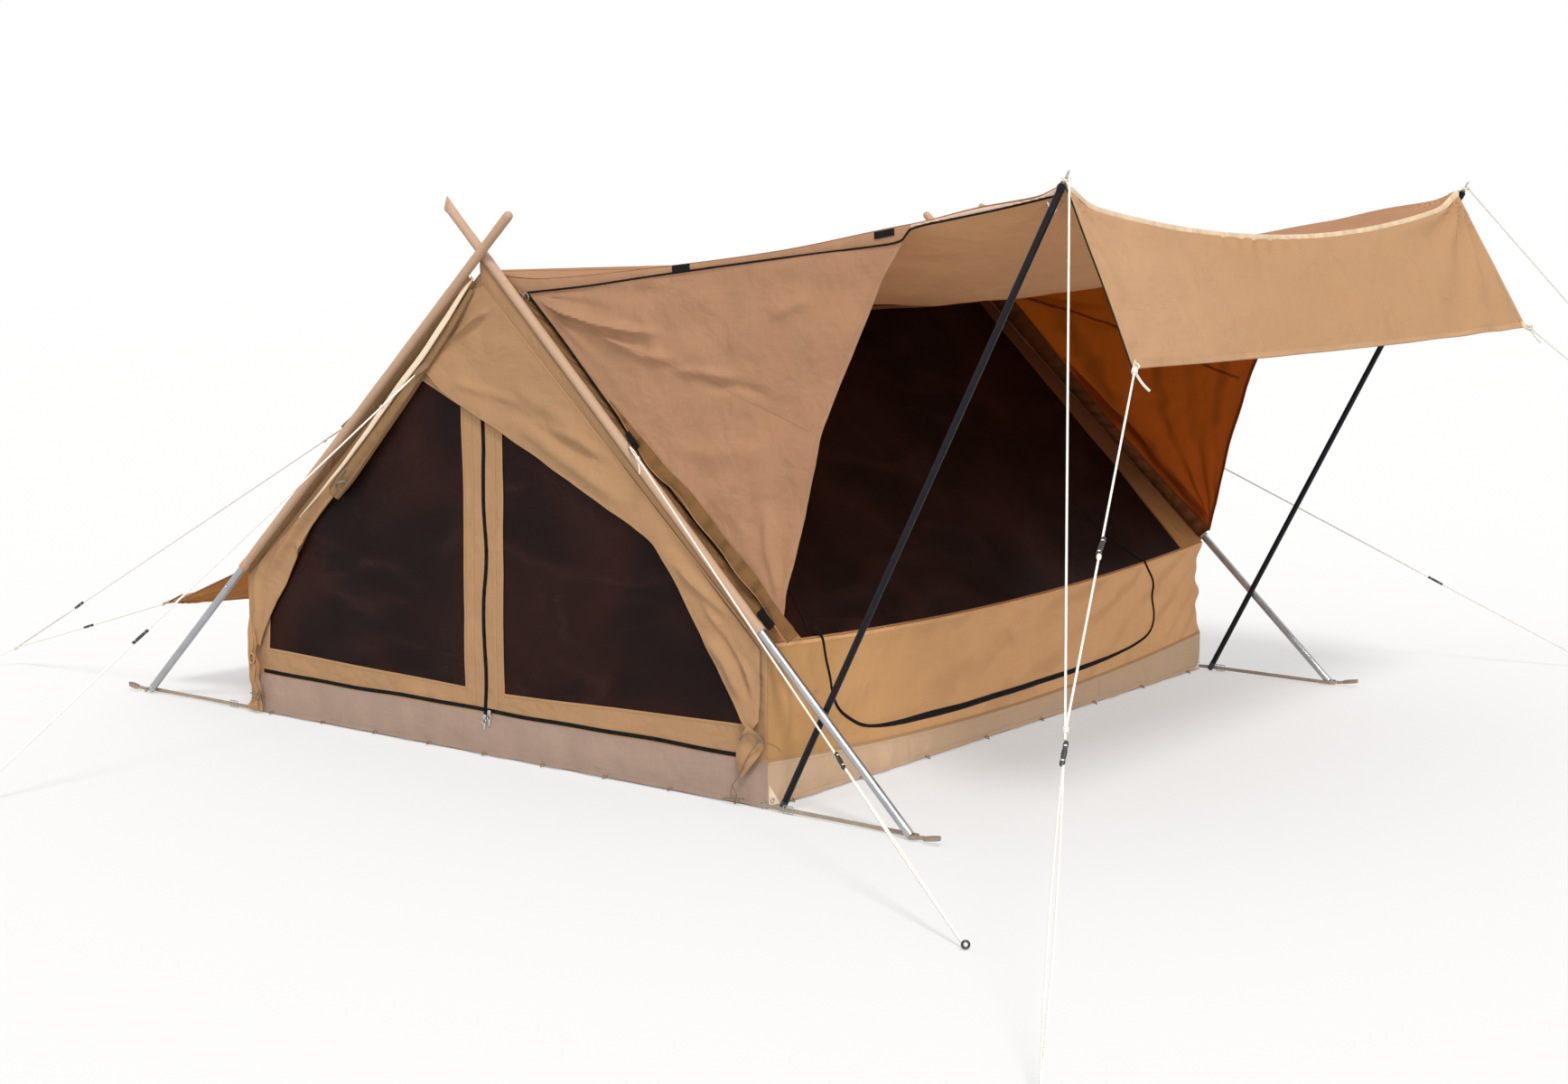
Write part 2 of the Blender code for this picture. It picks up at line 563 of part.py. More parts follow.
GROUND = 0.006
for label, sx in (("left", -1), ("right", 1)):
    near = sx < 0
    # from the head of the awning pole and from the drop panel corner to one stake; the second pulls the first out of line
    rake = (AWN_TOP[1] - AWN_FOOT[1]) / AWN_TOP[2]
    spike = (AWN_TOP[0], -AWN_TOP[1] - 0.012 * rake, AWN_TOP[2] + 0.012)
    head = (spike[0], spike[1] - 0.0115, spike[2] - 0.001)
    corner = (DROP[0] + 0.010, -DROP[1] - 0.012, DROP[2] - 0.004)
    meet = (2.327, -2.692, 0.620) if near else (2.657, -2.749, 0.620)
    stake = (2.869, -2.964, GROUND + 0.003) if near else (3.230, -3.000, GROUND + 0.003)
    guy(f"guy_awning_{label}", sx, [(head, meet), (meet, stake), (corner, meet)],
        [(meet, 0.009), (corner, 0.007), (head, 0.0062)],
        [(spike, (0, -rake, 1), 0.0090),
         (beyond(meet, stake, 0.016), (0.02, 0.03, 1), 0.018)],
        [(meet, stake, 0.020, 0.085), (corner, meet, 0.495, 0.545)])
    # from the front frame pole to a stake in front of it
    front = (1.3800, -0.636, 1.034) if near else (1.3995, -0.636, 0.997)
    stake = (2.112, -2.303, GROUND) if near else (2.300, -2.330, GROUND)
    guy(f"guy_frame_front_{label}", sx, [(front, stake)], [(front, 0.0075), (on_line(front, stake, 0.03), 0.0065)],
        [(beyond(front, stake, 0.016), (0.02, 0.03, 1), 0.018)], [(front, stake, 0.66, 0.70)])
    # from the back frame pole to a stake beyond the gable
    back = (1.4000, 0.243, 1.208) if near else (1.3865, 0.350, 1.277)
    stake = (2.750, 0.750, GROUND)
    guy(f"guy_frame_back_{label}", sx, [(back, stake)], [(back, 0.0065), (on_line(back, stake, 0.08), 0.0065)],
        [(beyond(back, stake, 0.016), (0.02, 0.03, 1), 0.018)], [(back, stake, 0.610, 0.650)])
    # from the middle of the back fly edge and from its corner to one stake
    edge = (FLY_X + 0.010, 0.650, 1.009)
    hem = (BACK_HEM[0] + 0.010, BACK_HEM[1] + 0.008, BACK_HEM[2])
    meet = (1.364, 2.469, 0.070)
    stake = (1.475, 2.560, GROUND)
    guy(f"guy_fly_{label}", sx, [(edge, meet), (hem, meet), (meet, stake)],
        [(edge, 0.0065), (hem, 0.0065), (meet, 0.009)],
        [(beyond(meet, stake, 0.016), (0.02, 0.03, 1), 0.018)],
        [(edge, meet, 0.765, 0.800), (hem, meet, 0.455, 0.530)])
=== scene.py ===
import math

import bpy
import numpy as np
from mathutils import Matrix, Vector
from mathutils.geometry import delaunay_2d_cdt


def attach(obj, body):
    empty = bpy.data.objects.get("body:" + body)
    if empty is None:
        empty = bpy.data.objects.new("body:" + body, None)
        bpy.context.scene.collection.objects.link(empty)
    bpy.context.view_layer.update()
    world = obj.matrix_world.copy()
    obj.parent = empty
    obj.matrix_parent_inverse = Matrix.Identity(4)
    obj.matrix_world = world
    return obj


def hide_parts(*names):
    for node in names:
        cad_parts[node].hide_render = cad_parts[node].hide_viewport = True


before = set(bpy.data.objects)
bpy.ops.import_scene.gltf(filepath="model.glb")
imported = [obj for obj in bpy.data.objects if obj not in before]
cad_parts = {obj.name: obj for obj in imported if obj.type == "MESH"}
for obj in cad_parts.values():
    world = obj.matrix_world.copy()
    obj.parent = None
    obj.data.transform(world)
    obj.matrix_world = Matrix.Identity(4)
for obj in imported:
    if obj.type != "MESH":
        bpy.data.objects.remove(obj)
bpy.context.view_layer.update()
FINE = 1.0          # coarser cloth while trying things

# ------------------------------------------------------------------ sizes, as in the CAD part
HALF_L, WALL_Y = 1.350, 1.132
EAVE_Z, RIDGE_Z = 0.490, 1.530
SLOPE = (RIDGE_Z - EAVE_Z) / WALL_Y
COS_S = 1 / math.hypot(1, SLOPE)
SKIRT_Z, SKIRT_DIP, SEAM_DIP = 0.140, 0.060, 0.050
MESH_TOP_X, MESH_LOW_X, MESH_TOP_Y = 1.264, 1.185, 0.170
TUBE_R = 0.013
FOOT_X, FOOT_Y = 1.375, 1.663
PASS_IN, PASS_OUT = (1.358, 0.0, 1.617), (1.390, 0.061, 1.614)
TIP_LONG, TIP_SHORT, SLEEVE_Y = 0.160, 0.140, 1.121
AWN_R, AWN_FOOT, AWN_TOP, SPIKE = 0.010, (1.3455, 1.176), (1.358, 2.090, 1.798), 0.040
FLY_X, FLY_RIDGE_Z = 1.335, 1.5395
CORNER = (1.330, 2.074, 1.762)
DROP = (1.392, 2.321, 1.335)
AWN_SAG = ((0.0, 0.0), (0.30, 0.085), (0.60, 0.135), (0.975, 0.160), (1.50, 0.150), (2.074, 0.106))
AWN_EDGE = ((0.0, 1.5395), (0.14, 1.524), (0.26, 1.522), (0.61, 1.553), (1.15, 1.616), (1.58, 1.690), (2.074, 1.762))
BACK_HEM, HEM_DROOP = (1.335, 1.596, 0.325), 0.085
THICK = 0.0011


# ------------------------------------------------------------------ small maths
def smooth(t):
    t = np.clip(t, 0.0, 1.0)
    return t * t * (3 - 2 * t)


def along(line, a, b):
    """Distance of points a, b to a line of points, and how far along it they are, 0 to 1."""
    pts = np.array(line, float)
    seg = np.diff(pts, axis=0)
    length = np.hypot(seg[:, 0], seg[:, 1])
    best, at, acc = np.full(np.shape(a), 1e9), np.zeros(np.shape(a)), 0.0
    for p, s, l in zip(pts, seg, length):
        if l < 1e-9:
            continue
        t = np.clip(((a - p[0]) * s[0] + (b - p[1]) * s[1]) / (l * l), 0, 1)
        d = np.hypot(a - p[0] - t * s[0], b - p[1] - t * s[1])
        near = d < best
        best = np.where(near, d, best)
        at = np.where(near, (acc + t * l) / length.sum(), at)
        acc += l
    return best, at


def folds(a, b, table):
    """Soft ridges or valleys that follow lines: (line, height, width)."""
    h = np.zeros(np.shape(a))
    for line, height, width in table:
        d, t = along(line, a, b)
        h = h + height * np.exp(-(d / width) ** 2) * smooth(t / 0.3) * smooth((1 - t) / 0.3)
    return h


def waves(seed, count, short, long, amp, sx=1.0, sy=1.0, sharp=0.0):
    """A seeded sum of long and short ripples; sharp above 0 pinches them into creases."""
    r = np.random.RandomState(seed)
    size, turn, start = r.uniform(short, long, count), r.uniform(0, 2 * math.pi, count), r.uniform(0, 2 * math.pi, count)

    def f(a, b):
        h = np.zeros(np.shape(a))
        wa = a + 0.035 * np.sin(5.1 * b + 1.3 * seed)
        wb = b + 0.035 * np.sin(4.3 * a + 0.7 * seed)
        for l, q, s in zip(size, turn, start):
            w = np.sin(2 * math.pi / l * (wa * math.cos(q) * sx + wb * math.sin(q) * sy) + s)
            if sharp:
                w = (1 - sharp) * w + sharp * (1 - 2 * np.abs(w) ** 0.8)
            h = h + l / long * w
        return amp * h / math.sqrt(count / 2)
    return f


def hermite(table, y):
    """The CAD part's smooth curve through a table, for arrays."""
    y = np.asarray(y, float)
    xs, ps = np.array([t[0] for t in table]), np.array([t[1] for t in table])
    n = len(xs)
    i = np.clip(np.searchsorted(xs, y, side="left") - 1, 0, n - 2)
    x0 = np.where(i > 0, xs[np.maximum(i - 1, 0)], 2 * xs[i] - xs[i + 1])
    p0 = np.where(i > 0, ps[np.maximum(i - 1, 0)], 2 * ps[i] - ps[i + 1])
    j = np.minimum(i + 2, n - 1)
    x3 = np.where(i < n - 2, xs[j], 2 * xs[i + 1] - xs[i])
    p3 = np.where(i < n - 2, ps[j], 2 * ps[i + 1] - ps[i])
    x1, x2, p1, p2 = xs[i], xs[i + 1], ps[i], ps[i + 1]
    m1, m2, h = (p2 - p0) / (x2 - x0), (p3 - p1) / (x3 - x1), x2 - x1
    t = (y - x1) / h
    return (2 * t**3 - 3 * t**2 + 1) * p1 + (t**3 - 2 * t**2 + t) * h * m1 + (-2 * t**3 + 3 * t**2) * p2 + (t**3 - t**2) * h * m2


def unit(v):
    v = np.asarray(v, float)
    return v / np.maximum(np.linalg.norm(v, axis=-1, keepdims=True), 1e-12)


def stack(*cols):
    return np.stack(np.broadcast_arrays(*cols), axis=-1).astype(float)


def resample(line, step):
    """Even points along a line, with the corners kept."""
    pts = np.array(line, float)
    out = [pts[0]]
    for p, q in zip(pts, pts[1:]):
        n = max(1, int(round(np.linalg.norm(q - p) / step)))
        out += [p + (q - p) * k / n for k in range(1, n + 1)]
    return np.array(out)


def rounded(line, turns=2):
    """Cut the corners of an open line to make it a soft curve."""
    pts = [np.array(p, float) for p in line]
    for _ in range(turns):
        out = [pts[0]]
        for p, q in zip(pts, pts[1:]):
            out += [p * 0.75 + q * 0.25, p * 0.25 + q * 0.75]
        pts = out + [pts[-1]]
    return np.array(pts)


# ------------------------------------------------------------------ surfaces
class Cloth:
    """A cloth surface: point(a, b) gives its places; facing is the way its outer side looks."""

    def __init__(self, point, facing):
        self.point, self.facing = point, np.array(facing, float)

    def at(self, a, b, lift=0.0):
        a, b = np.asarray(a, float), np.asarray(b, float)
        e = 2e-3
        p = self.point(a, b)
        n = unit(np.cross(self.point(a + e, b) - self.point(a - e, b), self.point(a, b + e) - self.point(a, b - e)))
        n = n * np.where((n @ self.facing) < 0, -1.0, 1.0)[..., None]
        return p + n * np.asarray(lift)[..., None], n


# ------------------------------------------------------------------ shapes: each gives points, faces and metres for the finish
def normals_of(P, F):
    n = np.zeros_like(P)
    for f in F:
        fn = np.cross(P[f[:, 2]] - P[f[:, 0]], P[f[:, -1]] - P[f[:, 1]]) if f.shape[1] == 4 else np.cross(P[f[:, 1]] - P[f[:, 0]], P[f[:, 2]] - P[f[:, 0]])
        for k in range(f.shape[1]):
            np.add.at(n, f[:, k], fn)
    return unit(n)


def close(P, F, uv, thick, N=None):
    """A closed body from its outer face: the inner face lies thick behind it."""
    N = normals_of(P, F) if N is None else N
    n = len(P)
    edges = np.concatenate([np.stack([f[:, k], f[:, (k + 1) % f.shape[1]]], 1) for f in F for k in range(f.shape[1])])
    key, back = edges[:, 0] * n + edges[:, 1], edges[:, 1] * n + edges[:, 0]
    rim = edges[~np.isin(key, back)]
    faces = list(F) + [f[:, ::-1] + n for f in F] + [np.stack([rim[:, 1], rim[:, 0], rim[:, 0] + n, rim[:, 1] + n], 1)]
    back_p = P - N * (np.asarray(thick)[..., None] if np.ndim(thick) else thick)
    return np.concatenate([P, back_p]), faces, np.concatenate([uv, uv])


def inside(loop, x, y):
    hit = np.zeros(np.shape(x), bool)
    n = len(loop)
    for i in range(n):
        (x0, y0), (x1, y1) = loop[i], loop[(i + 1) % n]
        if y0 == y1:
            continue
        cross = ((y0 > y) != (y1 > y)) & (x < (x1 - x0) * (y - y0) / (y1 - y0) + x0)
        hit ^= cross
    return hit


def fill(loops, res):
    """Triangles that fill an outline with holes, with even points inside."""
    pts, edges = [], []
    for loop in loops:
        line = resample(list(loop) + [loop[0]], res)[:-1]
        s = len(pts)
        pts += [tuple(p) for p in line]
        edges += [(s + k, s + (k + 1) % len(line)) for k in range(len(line))]
    outer = np.array(loops[0])
    lo, hi = outer.min(0), outer.max(0)
    rows = np.arange(lo[1], hi[1], res * 0.866)
    grid = []
    for k, y in enumerate(rows):
        xs = np.arange(lo[0] + (res / 2 if k % 2 else 0), hi[0], res)
        grid.append(np.stack([xs, np.full_like(xs, y)], 1))
    grid = np.concatenate(grid)
    keep = inside(loops[0], grid[:, 0], grid[:, 1])
    for hole in loops[1:]:
        keep &= ~inside(hole, grid[:, 0], grid[:, 1])
    for loop in loops:
        d, _ = along(list(loop) + [loop[0]], grid[:, 0], grid[:, 1])
        keep &= d > 0.45 * res
    pts += [tuple(p) for p in grid[keep]]
    made = delaunay_2d_cdt([Vector(p) for p in pts], edges, [], 0, 1e-7)
    v = np.array([tuple(p) for p in made[0]])
    f = np.array([tuple(t) for t in made[2] if len(t) == 3], int)
    c = v[f].mean(1)
    ok = inside(loops[0], c[:, 0], c[:, 1])
    for hole in loops[1:]:
        ok &= ~inside(hole, c[:, 0], c[:, 1])
    return v, f[ok]


def g_panel(cloth, loops, res, thick=THICK, lift=0.0):
    v, f = fill([[tuple(p) for p in loop] for loop in loops], res * FINE)
    used = np.unique(f)
    remap = np.full(len(v), -1)
    remap[used] = np.arange(len(used))
    v, f = v[used], remap[f]
    P, N = cloth.at(v[:, 0], v[:, 1], lift)
    fn = np.cross(P[f[:, 1]] - P[f[:, 0]], P[f[:, 2]] - P[f[:, 0]])
    if (fn * N[f[:, 0]]).sum() < 0:
        f = f[:, ::-1]
    return close(P, [f], v, thick, N)


def grid_faces(nu, nv, wrap_u=False):
    i, j = np.meshgrid(np.arange(nu), np.arange(nv))
    i, j = i.ravel(), j.ravel()
    w = nu if wrap_u else nu + 1
    i2 = (i + 1) % w if wrap_u else i + 1
    return np.stack([j * w + i, j * w + i2, (j + 1) * w + i2, (j + 1) * w + i], 1)


def g_grid(point, nu, nv, facing, thick=THICK, size=(1.0, 1.0)):
    """point(u, v) for arrays; size is what the sheet measures along u and v."""
    u, v = np.meshgrid(np.linspace(0, 1, nu + 1), np.linspace(0, 1, nv + 1))
    u, v = u.ravel(), v.ravel()
    P = point(u, v)
    f = grid_faces(nu, nv)
    N = normals_of(P, [f])
    if (N @ np.array(facing, float)).sum() < 0:
        f = f[:, ::-1]
    return close(P, [f], stack(u * size[0], v * size[1]), thick)


def g_strip(cloth, path, width, lift=0.0012, thick=0.0010, step=0.014, cols=2, bulge=0.0):
    """A strip that lies on a cloth surface and follows a line on it."""
    line = resample(path, step)
    d = np.gradient(line, axis=0)
    d = unit(d)
    side = stack(-d[:, 1], d[:, 0])
    s = np.concatenate([[0], np.cumsum(np.linalg.norm(np.diff(line, axis=0), axis=1))])
    w = np.full(len(line), float(width)) if np.ndim(width) == 0 else np.interp(s / s[-1], np.linspace(0, 1, len(width)), width)
    t = np.linspace(-0.5, 0.5, cols + 1)
    A = line[:, None, :] + side[:, None, :] * (w[:, None, None] * t[None, :, None])
    up = lift + bulge * (1 - (2 * t) ** 2)
    P, N = cloth.at(A[..., 0], A[..., 1], np.broadcast_to(up, A.shape[:2]))
    P, N = P.reshape(-1, 3), N.reshape(-1, 3)
    uv = stack(w[:, None] * t[None, :], np.broadcast_to(s[:, None], A.shape[:2])).reshape(-1, 2)
    f = grid_faces(cols, len(line) - 1)
    fn = np.cross(P[f[:, 1]] - P[f[:, 0]], P[f[:, 2]] - P[f[:, 0]])
    if (fn * N[f[:, 0]]).sum() < 0:
        f = f[:, ::-1]
    return close(P, [f], uv, thick, N)


def frames(path):
    """Steady side and up directions along a space line."""
    p = np.array(path, float)
    d = unit(np.gradient(p, axis=0))
    ref = np.array([0, 0, 1.0]) if abs(d[0][2]) < 0.9 else np.array([1.0, 0, 0])
    a = unit(np.cross(d[0], ref))
    A = [a]
    for k in range(1, len(p)):
        a = a - d[k] * (a @ d[k])
        a = a / max(np.linalg.norm(a), 1e-9)
        A.append(a)
    A = np.array(A)
    return d, A, np.cross(d, A)


def g_tube(path, radius, sides=10, loop=False, flat=1.0):
    p = np.array(path, float)
    if loop:
        p = np.concatenate([p, p[:1]])
    d, A, B = frames(p)
    if loop:
        p, d, A, B = p[:-1], d[:-1], A[:-1], B[:-1]
    n = len(p)
    r = np.full(n, float(radius)) if np.ndim(radius) == 0 else np.array(radius, float)
    t = 2 * np.pi * np.arange(sides) / sides
    P = p[:, None] + A[:, None] * (r[:, None, None] * np.cos(t)[None, :, None]) + B[:, None] * (r[:, None, None] * flat * np.sin(t)[None, :, None])
    s = np.concatenate([[0], np.cumsum(np.linalg.norm(np.diff(p, axis=0), axis=1))])
    uv = stack(np.broadcast_to(t[None, :] / (2 * np.pi) * 0.02, (n, sides)), np.broadcast_to(s[:, None], (n, sides))).reshape(-1, 2)
    P = P.reshape(-1, 3)
    f = grid_faces(sides, n - 1, True)
    faces = [f]
    if loop:
        k = np.arange(sides)
        faces.append(np.stack([(n - 1) * sides + k, (n - 1) * sides + (k + 1) % sides, (k + 1) % sides, k], 1))
    else:
        faces += [np.arange(sides)[None, ::-1], (np.arange(sides) + (n - 1) * sides)[None, :]]
    return P, faces, uv


def g_lathe(start, direction, rings, sides=28, ref=None):
    """rings: (distance, radius a, radius b) along a straight axis, ends closed."""
    w = unit(direction)
    ref = np.array(ref, float) if ref is not None else (np.array([0, 0, 1.0]) if abs(w[2]) < 0.9 else np.array([1.0, 0, 0]))
    u = unit(np.cross(w, ref))
    v = np.cross(w, u)
    t = 2 * np.pi * np.arange(sides) / sides
    P = np.concatenate([np.array(start) + w * d + u * (ra * np.cos(t))[:, None] + v * (rb * np.sin(t))[:, None] for d, ra, rb in rings])
    n = len(rings)
    uv = np.concatenate([stack(t / (2 * np.pi) * 0.08, np.full(sides, d)) for d, _, _ in rings])
    return P, [grid_faces(sides, n - 1, True), np.arange(sides)[None, ::-1], (np.arange(sides) + (n - 1) * sides)[None, :]], uv


def g_loft(stations, sides=20, fold=0.0, seed=0, square=1.0):
    """Stations (centre, side direction, depth direction, half width, half depth), with lengthwise folds."""
    r = np.random.RandomState(seed)
    ph = r.uniform(0, 6.28, 4)
    t = 2 * np.pi * np.arange(sides) / sides
    rows, s = [], 0.0
    uv, last = [], None
    for c, side, deep, wa, wb in stations:
        c = np.array(c, float)
        if last is not None:
            s += np.linalg.norm(c - last)
        last = c
        k = 1 + fold * (0.5 * np.sin(3 * t + ph[0] + 3.1 * s) + 0.35 * np.sin(5 * t + ph[1] - 4.3 * s) + 0.25 * np.sin(8 * t + ph[2] + 6.0 * s))
        ct, st = np.cos(t), np.sin(t)
        ct, st = np.sign(ct) * np.abs(ct) ** square, np.sign(st) * np.abs(st) ** square
        rows.append(c + np.array(side)[None] * (wa * ct * k)[:, None] + np.array(deep)[None] * (wb * st * k)[:, None])
        uv.append(stack(t / (2 * np.pi) * 2 * (wa + wb), np.full(sides, s)))
    n = len(rows)
    return np.concatenate(rows), [grid_faces(sides, n - 1, True), np.arange(sides)[None, ::-1], (np.arange(sides) + (n - 1) * sides)[None, :]], np.concatenate(uv)


def g_ball(c, r, squash=(1, 1, 1), sides=12):
    rows = 8
    t, q = 2 * np.pi * np.arange(sides) / sides, np.pi * (np.arange(rows) + 0.5) / rows
    P = np.array([[math.sin(a) * math.cos(b), math.sin(a) * math.sin(b), math.cos(a)] for a in q for b in t])
    uv = np.array([[b * 0.003, a * 0.01] for a in q for b in t])
    return np.array(c) + P * r * np.array(squash), [grid_faces(sides, rows - 1, True), np.arange(sides)[None, ::-1], (np.arange(sides) + (rows - 1) * sides)[None, :]], uv


def g_ring(c, axis, major, minor, around=28, sides=8, oval=1.0):
    w = unit(axis)
    ref = np.array([0, 0, 1.0]) if abs(w[2]) < 0.9 else np.array([1.0, 0, 0])
    u = unit(np.cross(w, ref))
    v = np.cross(w, u)
    t = 2 * np.pi * np.arange(around) / around
    path = np.array(c) + u * (major * np.cos(t))[:, None] + v * (major * oval * np.sin(t))[:, None]
    n = len(path)
    out = unit(path - np.array(c))
    q = 2 * np.pi * np.arange(sides) / sides
    P = (path[:, None] + out[:, None] * (minor * np.cos(q))[None, :, None] + w[None, None] * (minor * np.sin(q))[None, :, None]).reshape(-1, 3)
    uv = stack(np.broadcast_to(q[None] / 6.283 * 0.02, (n, sides)), np.broadcast_to((t * major)[:, None], (n, sides))).reshape(-1, 2)
    f = grid_faces(sides, n - 1, True)
    k = np.arange(sides)
    return P, [f, np.stack([(n - 1) * sides + k, (n - 1) * sides + (k + 1) % sides, (k + 1) % sides, k], 1)], uv


def flip(shape):
    P, F, uv = shape
    return P, [f[:, ::-1] for f in F], uv


def mirrored(shape, sx):
    P, F, uv = shape
    if sx > 0:
        return shape
    P = P.copy()
    P[:, 0] *= -1
    return P, [f[:, ::-1] for f in F], uv


def outward(shape):
    """Turn a closed shape's faces so that its volume is positive."""
    P, F, uv = shape
    c = P.mean(0)
    vol = 0.0
    for f in F:
        for k in range(1, f.shape[1] - 1):
            vol += np.einsum("ij,ij->i", P[f[:, 0]] - c, np.cross(P[f[:, k]] - c, P[f[:, k + 1]] - c)).sum()
    return shape if vol >= 0 else flip(shape)


class Piece:
    """Shapes gathered into one object, each with its own material."""

    def __init__(self, name):
        self.name, self.parts, self.mats = name, [], []

    def add(self, shape, mat, inner=None):
        """inner: a finish of its own for the back of a cloth, the second face list that close() gives."""
        for m in (mat, inner or mat):
            if m not in self.mats:
                self.mats.append(m)
        self.parts.append((outward(shape), self.mats.index(mat), self.mats.index(inner or mat)))
        return self

    def make(self, replaces=(), angle=38, slot=None):
        V, idx, size, uvs, mi, n = [], [], [], [], [], 0
        for (P, F, uv), m, back in self.parts:
            V.append(P)
            for k, f in enumerate(F):
                idx.append((f + n).ravel())
                size.append(np.full(len(f), f.shape[1]))
                uvs.append(uv[f.ravel()])
                mi.append(np.full(len(f), back if k == 1 else m))
            n += len(P)
        V, idx, size, uvs, mi = (np.concatenate(x) for x in (V, idx, size, uvs, mi))
        me = bpy.data.meshes.new(self.name)
        me.vertices.add(len(V))
        me.vertices.foreach_set("co", V.astype(np.float32).ravel())
        me.loops.add(len(idx))
        me.loops.foreach_set("vertex_index", idx.astype(np.int32))
        me.polygons.add(len(size))
        me.polygons.foreach_set("loop_start", np.concatenate([[0], np.cumsum(size)[:-1]]).astype(np.int32))
        me.polygons.foreach_set("material_index", mi.astype(np.int32))
        me.update(calc_edges=True)
        layer = me.uv_layers.new(name="UVMap")
        layer.data.foreach_set("uv", uvs.astype(np.float32).ravel())
        me.validate()
        me.polygons.foreach_set("use_smooth", np.ones(len(me.polygons), bool))
        me.set_sharp_from_angle(angle=math.radians(angle))
        for m in self.mats:
            me.materials.append(m)
        obj = bpy.data.objects.new(self.name, me)
        bpy.context.scene.collection.objects.link(obj)
        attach(obj, "root")
        if replaces:
            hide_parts(*([replaces] if isinstance(replaces, str) else replaces))
        return obj


def sheet(name, shape, mat, replaces=(), slot=None, inner=None):
    """A cloth sheet as one object; the size that it was cut to is worked out, but not used."""
    obj = Piece(name).add(shape, mat, inner).make(replaces, slot=slot)
    P, F, uv = shape
    half = len(P) // 2
    area = 0.0
    for f in F:
        g = f[(f < half).all(1)]
        for k in range(1, f.shape[1] - 1):
            a, b = uv[g[:, k]] - uv[g[:, 0]], uv[g[:, k + 1]] - uv[g[:, 0]]
            area += np.abs(a[:, 0] * b[:, 1] - a[:, 1] * b[:, 0]).sum() / 2
    w, l = (uv.max(0) - uv.min(0)).tolist()
    kept = min(float(area), w * l)
    if kept < 0.31 * w * l:              # a border round a window is cut as strips and sewn at its corners
        l = (w + l) * 1.7
        w = kept / l
    return obj


# ------------------------------------------------------------------ materials
def new_material(name):
    mat = bpy.data.materials.new(name)
    mat.use_nodes = True
    tree = mat.node_tree
    bsdf = tree.nodes["Principled BSDF"]
    return mat, tree, bsdf, tree.nodes["Material Output"]


class Nodes:
    def __init__(self, tree):
        self.tree = tree
        self.uv = None

    def node(self, kind, **values):
        n = self.tree.nodes.new(kind)
        for k, v in values.items():
            if k.startswith("_"):
                setattr(n, k[1:], v)
            else:
                n.inputs[k.replace("_", " ")].default_value = v
        return n

    def link(self, a, b):
        self.tree.links.new(a, b)

    def coords(self, scale=(1, 1, 1), turn=0.0):
        if self.uv is None:
            self.uv = self.node("ShaderNodeUVMap", _uv_map="UVMap")
        m = self.node("ShaderNodeMapping")
        m.inputs["Scale"].default_value = scale
        m.inputs["Rotation"].default_value = (0, 0, turn)
        self.link(self.uv.outputs["UV"], m.inputs["Vector"])
        return m.outputs["Vector"]

    def noise(self, scale, detail=3.0, rough=0.55, stretch=(1, 1, 1), turn=0.0, distortion=0.0):
        n = self.node("ShaderNodeTexNoise", _noise_dimensions="2D", Scale=scale, Detail=detail, Roughness=rough, Distortion=distortion)
        self.link(self.coords(stretch, turn), n.inputs["Vector"])
        return n.outputs["Fac"]

    def remap(self, value, lo, hi, a, b):
        n = self.node("ShaderNodeMapRange", From_Min=lo, From_Max=hi, To_Min=a, To_Max=b)
        self.link(value, n.inputs["Value"])
        return n.outputs["Result"]

    def maths(self, op, a, b=None):
        n = self.node("ShaderNodeMath", _operation=op)
        for k, v in enumerate((a, b)):
            if v is None:
                continue
            if isinstance(v, (int, float)):
                n.inputs[k].default_value = v
            else:
                self.link(v, n.inputs[k])
        return n.outputs[0]

    def mix(self, fac, a, b):
        n = self.node("ShaderNodeMix", _data_type="RGBA")
        ins = [s for s in n.inputs if s.enabled or True]
        self.link(fac, n.inputs[0]) if not isinstance(fac, (int, float)) else setattr(n.inputs[0], "default_value", fac)
        for k, v in ((6, a), (7, b)):
            if isinstance(v, tuple):
                n.inputs[k].default_value = (*v, 1.0) if len(v) == 3 else v
            else:
                self.link(v, n.inputs[k])
        return n.outputs[2]

    def bump(self, height, distance, strength=1.0, under=None):
        n = self.node("ShaderNodeBump", Strength=strength, Distance=distance)
        self.link(height, n.inputs["Height"])
        if under is not None:
            self.link(under, n.inputs["Normal"])
        return n.outputs["Normal"]

    def weave(self, period):
        """Threads over and under, by metres of cloth."""
        sep = self.node("ShaderNodeSeparateXYZ")
        self.link(self.coords((2 * math.pi / period, 2 * math.pi / period, 1)), sep.inputs[0])
        return self.maths("MULTIPLY", self.maths("SINE", sep.outputs[0]), self.maths("SINE", sep.outputs[1]))


def tint(c, k, warm=0.0):
    return (min(1, c[0] * k * (1 + warm)), min(1, c[1] * k), min(1, c[2] * k * (1 - warm)))


